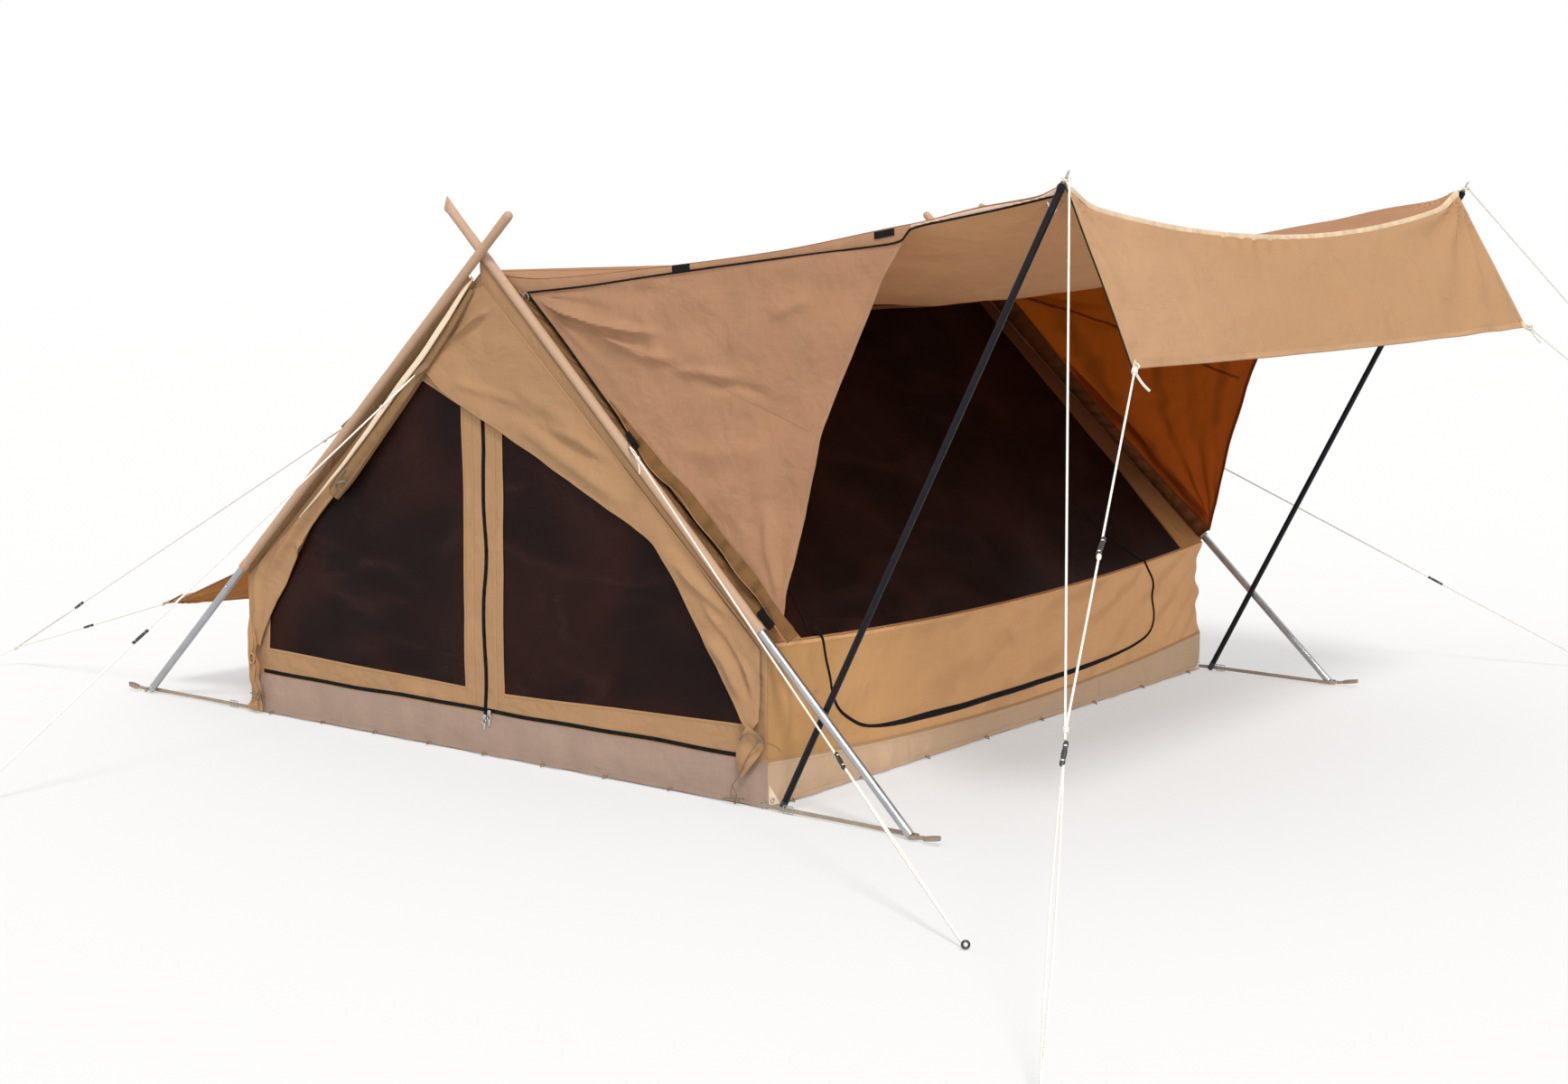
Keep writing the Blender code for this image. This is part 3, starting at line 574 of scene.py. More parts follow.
def canvas(name, colour, glow=None, through=0.22, rough=0.86, crumple=1.0, seed=0.0, fold_shade=None, fade=None):
    """Cotton canvas: slubs and a plain weave, faint blotches, painted shade along folds, and light that comes through.
    The fold shade (u, v, count, depth) is painted shade along creases that fan out from a point, fade (axis, from, to,
    colour) is a second shade along u or v."""
    mat, tree, bsdf, out = new_material(name)
    g = Nodes(tree)
    blotch = g.noise(1.7, 4, 0.6, (1, 1.3, 1), 0.3 + seed)
    cloud = g.noise(9.0, 3, 0.5, (1, 1, 1), 0.9 + seed)
    slub_a = g.noise(46.0, 2, 0.5, (0.10, 6.0, 1))
    slub_b = g.noise(46.0, 2, 0.5, (6.0, 0.10, 1))
    c = g.mix(g.remap(blotch, 0.32, 0.68, 0, 1), tint(colour, 0.955, -0.008), tint(colour, 1.045, 0.008))
    c = g.mix(g.remap(cloud, 0.30, 0.70, 0.0, 0.5), c, tint(colour, 0.90, 0.01))
    c = g.mix(g.remap(slub_a, 0.46, 0.72, 0.0, 0.30), c, tint(colour, 1.14))
    c = g.mix(g.remap(slub_b, 0.46, 0.72, 0.0, 0.22), c, tint(colour, 0.83))
    fold_shade_mask = None
    if fold_shade or fade:
        sep = g.node("ShaderNodeSeparateXYZ")
        g.link(g.coords(), sep.inputs[0])
    if fade:
        c = g.mix(g.remap(sep.outputs[fade[0]], fade[1], fade[2], 0, 1), c, fade[3])
    # painted shade: the colour darkens along creases that fan out from a point
    if fold_shade:
        turn = g.maths("ARCTAN2", g.maths("SUBTRACT", sep.outputs[1], fold_shade[1]), g.maths("SUBTRACT", sep.outputs[0], fold_shade[0]))
        wave = g.maths("SINE", g.maths("ADD", g.maths("MULTIPLY", turn, fold_shade[2]), g.maths("MULTIPLY", g.noise(2.6, 3, 0.55), 7.0)))
        fold_shade_mask = g.maths("MULTIPLY", g.remap(wave, 0.10, 0.95, 0, 1), g.remap(g.noise(4.0, 2, 0.5), 0.35, 0.62, 0.15, 0.75))
        c = g.mix(fold_shade_mask, c, tint(colour, fold_shade[3]))
    g.link(c, bsdf.inputs["Base Color"])
    bsdf.inputs["Roughness"].default_value = rough
    bsdf.inputs["Specular IOR Level"].default_value = 0.22
    bsdf.inputs["Sheen Weight"].default_value = 0.16
    bsdf.inputs["Sheen Roughness"].default_value = 0.55
    bsdf.inputs["Sheen Tint"].default_value = (*tint(colour, 1.6), 1)
    soft = g.noise(6.0, 3, 0.5, (1, 1, 1), 0.4 + seed, 0.25)
    mid = g.noise(17.0, 4, 0.6, (1, 1, 1), 1.1 + seed, 0.20)
    n = g.bump(soft, 0.020, 0.75 * crumple)
    n = g.bump(mid, 0.0046, 0.65 * crumple, n)
    n = g.bump(g.weave(0.0011), 0.00012, 0.35, n)
    g.link(n, bsdf.inputs["Normal"])
    if glow:
        t = g.node("ShaderNodeBsdfTranslucent")
        t.inputs["Color"].default_value = (*glow, 1)
        # the light through the cloth darkens along the same creases: painted shade
        if fold_shade_mask:
            g.link(g.mix(fold_shade_mask, glow, tint(glow, fold_shade[3])), t.inputs["Color"])
        g.link(n, t.inputs["Normal"])
        m = g.node("ShaderNodeMixShader")
        m.inputs[0].default_value = through
        g.link(bsdf.outputs[0], m.inputs[1])
        g.link(t.outputs[0], m.inputs[2])
        g.link(m.outputs[0], out.inputs["Surface"])
    return mat


def netting(name, colour, cover=0.78):
    """Fine insect mesh: dark threads with light between them."""
    mat, tree, bsdf, out = new_material(name)
    g = Nodes(tree)
    c = g.mix(g.remap(g.noise(2.3, 3, 0.5, (1, 1, 1), 0.4, 0.5), 0.38, 0.68, 0, 1), tint(colour, 0.7), tint(colour, 1.5, 0.25))
    soft = g.noise(3.6, 2, 0.5, (0.6, 1.7, 1), 0.55, 0.9)
    # lighter streaks along the mesh's folds: painted highlight
    c = g.mix(g.remap(soft, 0.56, 0.80, 0, 0.5), c, tint(colour, 3.6, -0.10))
    g.link(c, bsdf.inputs["Base Color"])
    bsdf.inputs["Roughness"].default_value = 0.55
    bsdf.inputs["Specular IOR Level"].default_value = 0.10
    g.link(g.bump(soft, 0.022, 0.5), bsdf.inputs["Normal"])
    sep = g.node("ShaderNodeSeparateXYZ")
    g.link(g.coords((2 * math.pi / 0.0016, 2 * math.pi / 0.0016, 1)), sep.inputs[0])
    threads = g.maths("MAXIMUM", g.maths("SINE", sep.outputs[0]), g.maths("SINE", sep.outputs[1]))
    fac = g.remap(threads, -0.4, 0.4, cover - 0.12, min(0.97, cover + 0.10))
    clear = g.node("ShaderNodeBsdfTransparent")
    m = g.node("ShaderNodeMixShader")
    g.link(fac, m.inputs[0])
    g.link(clear.outputs[0], m.inputs[1])
    g.link(bsdf.outputs[0], m.inputs[2])
    g.link(m.outputs[0], out.inputs["Surface"])
    return mat


def webbing(name, colour, pitch=0.0026, rough=0.85):
    """Ribbed narrow tape: ribs across its length."""
    mat, tree, bsdf, out = new_material(name)
    g = Nodes(tree)
    sep = g.node("ShaderNodeSeparateXYZ")
    g.link(g.coords((2 * math.pi / 0.0035, 2 * math.pi / pitch, 1)), sep.inputs[0])
    ribs = g.maths("SINE", sep.outputs[1])
    lines = g.maths("SINE", sep.outputs[0])
    c = g.mix(g.remap(g.noise(18.0, 3), 0.3, 0.7, 0, 1), tint(colour, 0.82), tint(colour, 1.15))
    # darker between the ribs: painted shade
    c = g.mix(g.remap(ribs, -1, 1, 0.25, 0), c, tint(colour, 0.55))
    g.link(c, bsdf.inputs["Base Color"])
    bsdf.inputs["Roughness"].default_value = rough
    bsdf.inputs["Specular IOR Level"].default_value = 0.18
    bsdf.inputs["Sheen Weight"].default_value = 0.10
    bsdf.inputs["Sheen Tint"].default_value = (*tint(colour, 1.6), 1)
    n = g.bump(g.maths("ADD", ribs, g.maths("MULTIPLY", lines, 0.5)), 0.0003, 0.6)
    g.link(g.bump(g.noise(30.0, 3), 0.001, 0.4, n), bsdf.inputs["Normal"])
    return mat


def rope_material(name, colour, pitch=0.007):
    mat, tree, bsdf, out = new_material(name)
    g = Nodes(tree)
    sep = g.node("ShaderNodeSeparateXYZ")
    g.link(g.coords((2 * math.pi * 3 / 0.02, 2 * math.pi / pitch, 1)), sep.inputs[0])
    twist = g.maths("SINE", g.maths("ADD", sep.outputs[0], sep.outputs[1]))
    # darker in the grooves of the twist: painted shade
    c = g.mix(g.remap(twist, -1, 0.4, 0.45, 0), colour, tint(colour, 0.62, 0.03))
    c = g.mix(g.remap(g.noise(12.0, 3, 0.6, (1, 2, 1)), 0.35, 0.75, 0, 0.5), c, tint(colour, 0.80, 0.04))
    g.link(c, bsdf.inputs["Base Color"])
    bsdf.inputs["Roughness"].default_value = 0.8
    bsdf.inputs["Sheen Weight"].default_value = 0.2
    g.link(g.bump(twist, 0.0007, 0.8), bsdf.inputs["Normal"])
    return mat


def metal(name, colour, rough=0.32, brushed=1.0):
    mat, tree, bsdf, out = new_material(name)
    g = Nodes(tree)
    streak = g.noise(60.0, 4, 0.6, (8, 0.25, 1))
    smear = g.noise(7.0, 4, 0.6, (1, 2, 1))
    c = g.mix(g.remap(smear, 0.3, 0.7, 0, 1), tint(colour, 0.86), tint(colour, 1.06))
    g.link(c, bsdf.inputs["Base Color"])
    bsdf.inputs["Metallic"].default_value = 1.0
    g.link(g.remap(streak, 0.25, 0.75, rough - 0.08, rough + 0.14), bsdf.inputs["Roughness"])
    g.link(g.bump(streak, 0.00025, 0.35 * brushed), bsdf.inputs["Normal"])
    return mat


def enamel(name, colour, rough=0.3, coat=0.25, shine=0.5):
    """Painted or moulded: faint orange peel, scuffs that dull it."""
    mat, tree, bsdf, out = new_material(name)
    g = Nodes(tree)
    bsdf.inputs["Specular IOR Level"].default_value = shine
    scuff = g.noise(26.0, 5, 0.65, (1, 0.5, 1))
    c = g.mix(g.remap(scuff, 0.55, 0.78, 0, 0.5), colour, tint(colour, 2.2))
    g.link(c, bsdf.inputs["Base Color"])
    g.link(g.remap(scuff, 0.3, 0.75, rough - 0.05, rough + 0.22), bsdf.inputs["Roughness"])
    bsdf.inputs["Coat Weight"].default_value = coat
    bsdf.inputs["Coat Roughness"].default_value = 0.22
    g.link(g.bump(g.noise(120.0, 2), 0.0002, 0.25), bsdf.inputs["Normal"])
    return mat


def zip_material(name):
    """Black zip: woven tape and a ribbed coil."""
    mat, tree, bsdf, out = new_material(name)
    g = Nodes(tree)
    sep = g.node("ShaderNodeSeparateXYZ")
    g.link(g.coords((2 * math.pi / 0.002, 2 * math.pi / 0.0022, 1)), sep.inputs[0])
    ribs = g.maths("SINE", sep.outputs[1])
    c = g.mix(g.remap(g.noise(30.0, 3), 0.3, 0.7, 0, 1), (0.005, 0.0045, 0.0045), (0.013, 0.012, 0.012))
    g.link(c, bsdf.inputs["Base Color"])
    bsdf.inputs["Specular IOR Level"].default_value = 0.06
    g.link(g.remap(ribs, -1, 1, 0.72, 0.52), bsdf.inputs["Roughness"])
    g.link(g.bump(ribs, 0.0005, 0.7), bsdf.inputs["Normal"])
    return mat


GLOW = (0.68, 0.260, 0.060)
M_FLY = canvas("fly_canvas", (0.370, 0.205, 0.110), GLOW, 0.26)
# the inner faces are painted copies of the fly cloth: fly_canvas_inside is lighter, painted light for the bounce from
# below, and fly_back_inside is a more saturated ochre, painted glow for the light that comes through
M_FLY_IN = canvas("fly_canvas_inside", (0.540, 0.325, 0.160), GLOW, 0.26)
M_BACK_IN = canvas("fly_back_inside", (0.430, 0.255, 0.090), (0.95, 0.55, 0.16), 0.45, seed=0.6)
M_SIDE = canvas("side_canvas", (0.350, 0.198, 0.113), (0.90, 0.55, 0.25), 0.20, seed=0.3)
# side_canvas_inside is a dark, saturated copy of side_canvas for the inner face: painted shade, with painted shade
# along creases that fan from its lower corner
M_SIDE_IN = canvas("side_canvas_inside", (0.172, 0.056, 0.014), (0.90, 0.335, 0.052), 0.70, seed=0.3, fold_shade=(1.172, 0.548, 24, 0.60))
M_DROP = canvas("drop_canvas", (0.395, 0.236, 0.128), GLOW, 0.14, crumple=1.2, seed=1.2, fade=(0, 0.15, 1.05, (0.356, 0.205, 0.102)))
M_TAN = canvas("tent_canvas", (0.372, 0.216, 0.110), GLOW, 0.18, seed=0.8)
# a darker copy of the tent canvas: painted shade, for the roll's underside, the back sleeve webs and the hollow at the
# door's foot
M_PAINTED_SHADE_TAN = canvas("tan_canvas_painted_shade", (0.210, 0.120, 0.055), None, crumple=1.3, seed=0.9)
# roof_canvas is dark near the ridge and lighter towards the eave: painted shade under the fly
M_ROOF = canvas("roof_canvas", (0.135, 0.050, 0.016), GLOW, 0.08, seed=2.1, fade=(1, 0.86, 1.10, (0.330, 0.155, 0.060)))
# wall_canvas is a lighter copy of the tent canvas for the long walls: painted light; it is darker towards the left end,
# with painted shade along creases that fan from the upper right
M_WALL = canvas("wall_canvas", (0.575, 0.315, 0.146), GLOW, 0.12, seed=1.7, fold_shade=(1.95, 0.82, 66, 0.80), fade=(0, -0.28, -1.12, (0.398, 0.218, 0.084)))
# skirt_canvas (gable ends) and skirt_canvas_front (long sides) are shaded and lit copies of one skirt cloth: painted
# shade and painted light
M_SKIRT = canvas("skirt_canvas", (0.272, 0.188, 0.145), None, rough=0.8, crumple=0.8, seed=2.4)
M_SKIRT_F = canvas("skirt_canvas_front", (0.420, 0.286, 0.185), None, rough=0.8, crumple=0.8, seed=2.6)
# strip_canvas is darkened with painted shade from the canopy, and strip_canvas_shaded is a still darker painted-shade
# copy for the far side; both paint shade along fanned creases
M_STRIP = canvas("strip_canvas", (0.158, 0.076, 0.026), GLOW, 0.10, crumple=1.5, seed=2.8, fold_shade=(-3.0, 0.7, 230, 0.50))
M_STRIP_FAR = canvas("strip_canvas_shaded", (0.120, 0.042, 0.012), GLOW, 0.12, crumple=1.5, seed=2.8, fold_shade=(-3.0, 0.7, 300, 0.35))
M_SLEEVE = canvas("sleeve_canvas", (0.385, 0.252, 0.170), None, rough=0.85, crumple=0.6, seed=3.1)
M_SEAM = canvas("seam_canvas", (0.320, 0.182, 0.088), None, crumple=0.4, seed=0.2)
M_CREAM = canvas("cream_tape", (0.640, 0.510, 0.380), None, crumple=0.4, seed=0.5)
M_EDGE = canvas("edge_band_canvas", (0.470, 0.330, 0.250), None, crumple=0.5, seed=1.5)
M_MESH = netting("insect_mesh", (0.0110, 0.0036, 0.0030), 0.84)
M_FLOOR = canvas("groundsheet_cloth", (0.115, 0.085, 0.062), None, rough=0.6, crumple=1.2)
M_ZIP = zip_material("zip_black_nylon")
M_BRAID = webbing("fold_webbing", (0.560, 0.430, 0.290))
M_STRAP = webbing("strap_webbing", (0.300, 0.235, 0.180))
M_TAB = webbing("tab_webbing", (0.200, 0.125, 0.070))
M_PATCH = webbing("patch_black", (0.0060, 0.0052, 0.0050), 0.0016, 0.95)
M_PIPE = webbing("dark_piping", (0.014, 0.010, 0.008), 0.0018, 0.8)
M_ROPE = rope_material("guy_rope", (0.800, 0.770, 0.690))
M_CORD = rope_material("tie_cord", (0.190, 0.120, 0.060), 0.004)
M_ALU = metal("frame_aluminium", (0.430, 0.445, 0.465), 0.34)
M_STEEL = metal("steel_fittings", (0.480, 0.480, 0.460), 0.26)
M_POLE = enamel("pole_black_paint", (0.006, 0.0062, 0.0095), 0.30, 0.0, 0.16)
M_PLASTIC = enamel("black_plastic", (0.012, 0.012, 0.013), 0.38, 0.1)
M_CAP = enamel("pole_foot_plastic", (0.020, 0.020, 0.022), 0.5, 0.0)

# ------------------------------------------------------------------ folds of each cloth surface
w_broad = waves(3, 7, 0.45, 1.10, 1.0)
w_mid = waves(5, 9, 0.16, 0.42, 1.0)
w_fine = waves(8, 10, 0.05, 0.14, 1.0, sharp=0.35)
w_tall = waves(11, 7, 0.10, 0.26, 1.0, sx=1.0, sy=0.18)


def skirt_line(x, dip):
    return SKIRT_Z - dip * (1 - (x / HALF_L) ** 2)


def seam_line(x):
    return EAVE_Z - SEAM_DIP * (1 - (x / HALF_L) ** 2)


def gable_fade(a, b, reach=0.10):
    edge = np.minimum((RIDGE_Z - SLOPE * np.abs(a) - b) * COS_S, WALL_Y - np.abs(a))
    return smooth(edge / reach) * smooth((b - SKIRT_Z) / reach)


def corner_in(b):
    """How far the right-hand wall corners are drawn in, between the skirt and the eave."""
    t = np.clip((b - SKIRT_Z) / (EAVE_Z - SKIRT_Z), 0, 1)
    return np.sin(np.pi * t) * (0.019 + 0.008 * np.sin(9.0 * t + 0.6) + 0.004 * np.sin(24 * t))


def gable_cloth(sx, out=0.0, seed=0.0, amp=1.0):
    def point(a, b):
        h = gable_fade(a, b) * amp * (0.0030 * w_broad(a + seed, b) + 0.0016 * w_mid(a + seed, b) + 0.0004 * w_fine(a, b + seed))
        if sx > 0:
            k = corner_in(b) * np.exp(-((WALL_Y - np.abs(a)) / 0.10) ** 2)
            h, a = h - k, a - np.sign(a) * k
        return stack(sx * (HALF_L + 0.0004 + out + h), a, b)
    return Cloth(point, (sx, 0, 0))


def long_cloth(sy, out=0.0, seed=0.0, table=()):
    def point(a, b):
        low, high = skirt_line(a, SKIRT_DIP), seam_line(a)
        fade = smooth((b - low) / 0.05) * smooth((high - b) / 0.04) * smooth((HALF_L - np.abs(a)) / 0.08)
        h = fade * (0.0045 * w_broad(a + seed, b * 0.7) + 0.0022 * w_mid(a + seed, b) + 0.0005 * w_fine(a, b))
        h = h + 1.45 * folds(a, b, table) * smooth((b - low) / 0.03)
        k = corner_in(b) * smooth((a - 1.18) / 0.17)
        return stack(a - k, sy * (WALL_Y + out + h - k), b)
    return Cloth(point, (0, sy, 0))


def roof_cloth(sy, out=0.0, seed=0.0, amp=1.0):
    """x and the plan distance from the ridge."""
    def point(a, b):
        z = RIDGE_Z - (RIDGE_Z - seam_line(a)) * b / WALL_Y
        fade = smooth(b / 0.12) * smooth((WALL_Y - b) / 0.10) * smooth((HALF_L - np.abs(a)) / 0.10)
        h = amp * fade * (0.004 * w_broad(a + seed, b) + 0.0015 * w_mid(a, b + seed)) + out
        return stack(a, sy * (b + h * SLOPE * COS_S), z + h * COS_S)
    return Cloth(point, (0, sy, 1))


def window_net(base, loop, inward, seed, slack=0.007):
    """The mesh of a window: it leaves the cloth round it only inwards, and not at its edges."""
    def point(a, b):
        p = base.point(a, b)
        d, _ = along(list(loop) + [loop[0]], a, b)
        wave = 0.5 + 0.30 * w_broad(a + seed, b * 0.8) + 0.22 * w_mid(a + seed, b) + 0.03 * w_fine(a, b + seed)
        h = 0.0015 + slack * smooth(d / 0.10) * np.clip(wave, 0.0, 1.3)
        return p + h[..., None] * np.array(inward, float)
    return Cloth(point, -np.array(inward, float))


def skirt_gable_cloth(sx):
    def point(a, b):
        t = (b - 0.004) / (SKIRT_Z - 0.004)
        h = 0.0045 * smooth((1 - t) * 1.4) * (0.8 + w_tall(a, b * 0.4)) + 0.0016 * w_mid(a, b) * (1 - t) + 0.0035 * np.sin(np.pi * np.clip(t, 0, 1))
        h = np.maximum(h, 0.0) * smooth((WALL_Y + 0.004 - np.abs(a)) / 0.05)
        return stack(sx * (HALF_L + 0.0002 + h), a, b)
    return Cloth(point, (sx, 0, 0))


def skirt_long_cloth(sy):
    def point(a, b):
        top = skirt_line(a, SKIRT_DIP)
        t = (b - 0.004) / (top - 0.004)
        h = 0.005 * smooth((1 - t) * 1.4) * (0.8 + w_tall(a + 2.0, b * 0.4)) + 0.0016 * w_mid(a + 2, b) * (1 - t) + 0.0035 * np.sin(np.pi * np.clip(t, 0, 1))
        h = np.maximum(h, 0.0) * smooth((HALF_L + 0.004 - np.abs(a)) / 0.05)
        return stack(a, sy * (WALL_Y + 0.0002 + h), b)
    return Cloth(point, (0, sy, 0))


def zipper(piece, cloth, path, tape=0.020, lift=0.0016, coil=0.0022, pull=None, step=0.012):
    """Tape with its raised coil, and the metal pull at one place of it."""
    path = np.array(path, float)
    piece.add(g_strip(cloth, path, tape, lift, 0.0008, step, 2), M_ZIP)
    line = resample(path, step)
    P, _ = cloth.at(line[:, 0], line[:, 1], lift + coil * 0.5)
    piece.add(g_tube(P, coil, 8), M_ZIP)
    if pull is not None:
        P, N = cloth.at(np.array([pull[0]]), np.array([pull[1]]), lift + 0.0045)
        c, n = P[0], N[0]
        d = unit(np.array([0, 0, -1.0]) - n * (-n[2]))
        s = np.cross(n, d)
        piece.add(g_loft([(c - d * 0.009, s, n, 0.0052, 0.0024), (c - d * 0.004, s, n, 0.0070, 0.0036), (c + d * 0.006, s, n, 0.0068, 0.0036), (c + d * 0.009, s, n, 0.0042, 0.0022)], 16, square=0.3), M_STEEL)
        piece.add(g_ring(c + d * 0.014 + n * 0.0030, unit(n + s * 0.4), 0.0062, 0.0013, oval=1.3), M_STEEL)
        piece.add(g_loft([(c + d * 0.020 + n * 0.002, s, n, 0.0030, 0.0012), (c + d * 0.026 + n * 0.003, s, n, 0.0052, 0.0013),
                          (c + d * 0.040 + n * 0.0015, s, n, 0.0048, 0.0013), (c + d * 0.044 + n * 0.001, s, n, 0.0026, 0.0010)], 12), M_STEEL)


# ------------------------------------------------------------------ groundsheet and skirts
def ground_point(u, v):
    x, y = (2 * u - 1) * (HALF_L - 0.002), (2 * v - 1) * (WALL_Y - 0.002)
    fade = smooth((HALF_L - np.abs(x)) / 0.10) * smooth((WALL_Y - np.abs(y)) / 0.10)
    return stack(x, y, 0.0030 + fade * np.maximum(0.006 + 0.004 * w_broad(x, y) + 0.0025 * w_mid(x, y) + 0.001 * w_fine(x, y), 0.0))


sheet("groundsheet_cloth", g_grid(ground_point, 90, 76, (0, 0, 1), 0.0022, (2.696, 2.260)), M_FLOOR, "groundsheet", slot="groundsheet_brown")

for label, sx in (("left", -1), ("right", 1)):
    cloth = skirt_gable_cloth(sx)
    trim = Piece(f"skirt_{label}_gable_trim")
    ys = np.linspace(-WALL_Y + 0.004, WALL_Y - 0.004, 120)
    trim.add(g_strip(cloth, np.stack([ys, np.full(120, 0.0125)], 1), 0.014, 0.0010, 0.0010), M_SKIRT)
    for k, y in enumerate(np.linspace(-1.02, 1.02, 9)):
        P, N = cloth.at(np.array([y]), np.array([0.010]), 0.001)
        c = P[0]
        trim.add(g_tube([c + (0, -0.006, 0.002), c + (sx * 0.008, -0.007, -0.004), c + (sx * 0.014, 0, -0.0065), c + (sx * 0.008, 0.007, -0.004), c + (0, 0.006, 0.002)], 0.0016, 8), M_TAB)
    trim = trim.make()
    loop = [(-WALL_Y + 0.0005, 0.0038), (WALL_Y - 0.0005, 0.0038), (WALL_Y - 0.0005, SKIRT_Z), (-WALL_Y + 0.0005, SKIRT_Z)]
    sheet(f"skirt_{label}_gable_cloth", g_panel(cloth, [loop], 0.016), M_SKIRT, f"skirt_{label}_gable", "canvas_skirt")
for label, sy in (("front", -1), ("back", 1)):
    cloth = skirt_long_cloth(sy)
    xs = np.linspace(-HALF_L + 0.004, HALF_L - 0.004, 140)
    trim = Piece(f"skirt_{label}_trim")
    trim.add(g_strip(cloth, np.stack([xs, np.full(140, 0.0125)], 1), 0.014, 0.0010, 0.0010), M_SKIRT_F)
    trim.add(g_strip(cloth, np.stack([xs, skirt_line(xs, SKIRT_DIP) - 0.004], 1), 0.010, 0.0010, 0.0010), M_SKIRT_F)
    for x in (-0.63, 0.58):
        trim.add(g_strip(cloth, [(x, 0.008), (x, skirt_line(x, SKIRT_DIP) - 0.004)], 0.010, 0.0012, 0.0010), M_SKIRT_F)
    for k, x in enumerate(np.linspace(-1.24, 1.24, 8)):
        P, N = cloth.at(np.array([x]), np.array([0.010]), 0.001)
        c = P[0]
        trim.add(g_tube([c + (-0.006, 0, 0.002), c + (-0.007, sy * 0.008, -0.004), c + (0, sy * 0.014, -0.0065), c + (0.007, sy * 0.008, -0.004), c + (0.006, 0, 0.002)], 0.0016, 8), M_TAB)
    trim = trim.make()
    xs = np.linspace(-HALF_L + 0.0005, HALF_L - 0.0005, 40)
    loop = [(xs[0], 0.0038), (xs[-1], 0.0038)] + [(x, skirt_line(x, SKIRT_DIP)) for x in xs[::-1]]
    sheet(f"skirt_{label}_cloth", g_panel(cloth, [loop], 0.016), M_SKIRT_F, f"skirt_{label}", "canvas_skirt")

# ------------------------------------------------------------------ long walls
FRONT_FOLDS = [([(0.685, 0.431), (0.30, 0.330), (0.046, 0.263)], 0.0075, 0.022), ([(0.399, 0.434), (0.10, 0.30), (-0.206, 0.180)], -0.0060, 0.026),
               ([(0.276, 0.445), (0.02, 0.360), (-0.290, 0.255)], 0.0070, 0.024), ([(-0.02, 0.435), (-0.25, 0.340), (-0.52, 0.270)], 0.0050, 0.028),
               ([(1.166, 0.372), (1.10, 0.26), (1.071, 0.146)], 0.0075, 0.022), ([(-1.20, 0.40), (-1.10, 0.30), (-1.03, 0.16)], 0.0055, 0.022),
               ([(-0.75, 0.42), (-0.45, 0.30), (-0.30, 0.20)], 0.0045, 0.030), ([(-1.30, 0.45), (-1.22, 0.30), (-1.24, 0.16)], -0.0040, 0.024),
               ([(0.90, 0.45), (1.00, 0.34), (1.20, 0.26)], 0.0050, 0.026), ([(1.335, 0.46), (1.325, 0.33), (1.335, 0.18)], 0.0060, 0.016),
               ([(-1.275, 0.46), (-1.262, 0.33), (-1.272, 0.17)], 0.0060, 0.015), ([(-1.185, 0.47), (-1.160, 0.38), (-1.125, 0.25)], 0.0045, 0.018),
               ([(-1.000, 0.446), (-0.700, 0.428), (-0.350, 0.418)], 0.0030, 0.018), ([(-0.950, 0.160), (-0.600, 0.152), (-0.200, 0.160)], -0.0034, 0.011),
               ([(0.60, 0.44), (0.72, 0.34), (0.94, 0.20)], 0.0045, 0.020), ([(1.24, 0.46), (1.19, 0.34), (1.20, 0.20)], -0.0045, 0.020)]
U_ZIP = [(-1.130, 0.513), (-1.082, 0.471), (-1.065, 0.404), (-1.040, 0.335), (-1.035, 0.300), (-1.007, 0.242), (-0.938, 0.197), (-0.869, 0.165),
         (-0.767, 0.147), (-0.561, 0.134), (-0.205, 0.135), (0.100, 0.137), (0.416, 0.141), (0.774, 0.160), (0.880, 0.174), (0.951, 0.196), (0.980, 0.232),
         (0.985, 0.273), (0.958, 0.328), (0.962, 0.385), (0.920, 0.440), (0.893, 0.470)]
for label, sy in (("front", -1), ("back", 1)):
    cloth = long_cloth(sy, 0.0004, 0.0 if sy < 0 else 3.0, FRONT_FOLDS if sy < 0 else ())
    xs = np.linspace(-HALF_L + 0.0005, HALF_L - 0.0005, 60)
    loop = [(x, skirt_line(x, SKIRT_DIP) - 0.002) for x in xs] + [(x, seam_line(x)) for x in xs[::-1]]
    trim = Piece(f"{label}_wall_trim")
    xs = np.linspace(-HALF_L + 0.006, HALF_L - 0.006, 150)
    trim.add(g_strip(cloth, np.stack([xs, seam_line(xs) - 0.007], 1), 0.010, 0.0010, 0.0010), M_WALL)
    trim.add(g_strip(cloth, np.stack([xs, skirt_line(xs, SKIRT_DIP) + 0.005], 1), 0.010, 0.0012, 0.0010), M_SEAM)
    if sy < 0:
        u = rounded(U_ZIP, 2)
        low = u[(u[:, 1] < 0.46)]
        wide = Piece("front_door_zip_tape")
        zipper(wide, cloth, u, 0.0100, 0.0018, 0.0018, None, 0.010)
        mid = low[(low[:, 1] < 0.20)]
        wide.add(g_strip(cloth, mid, [0.006, 0.021, 0.019, 0.017, 0.006], 0.0016, 0.0010, 0.014), M_ZIP)
        zip_obj = wide.make("front_door_zip", slot="zip_black")
    trim = trim.make()
    sheet(f"{label}_wall_cloth", g_panel(cloth, [loop], 0.012), M_WALL, f"{label}_wall", "canvas_tan")

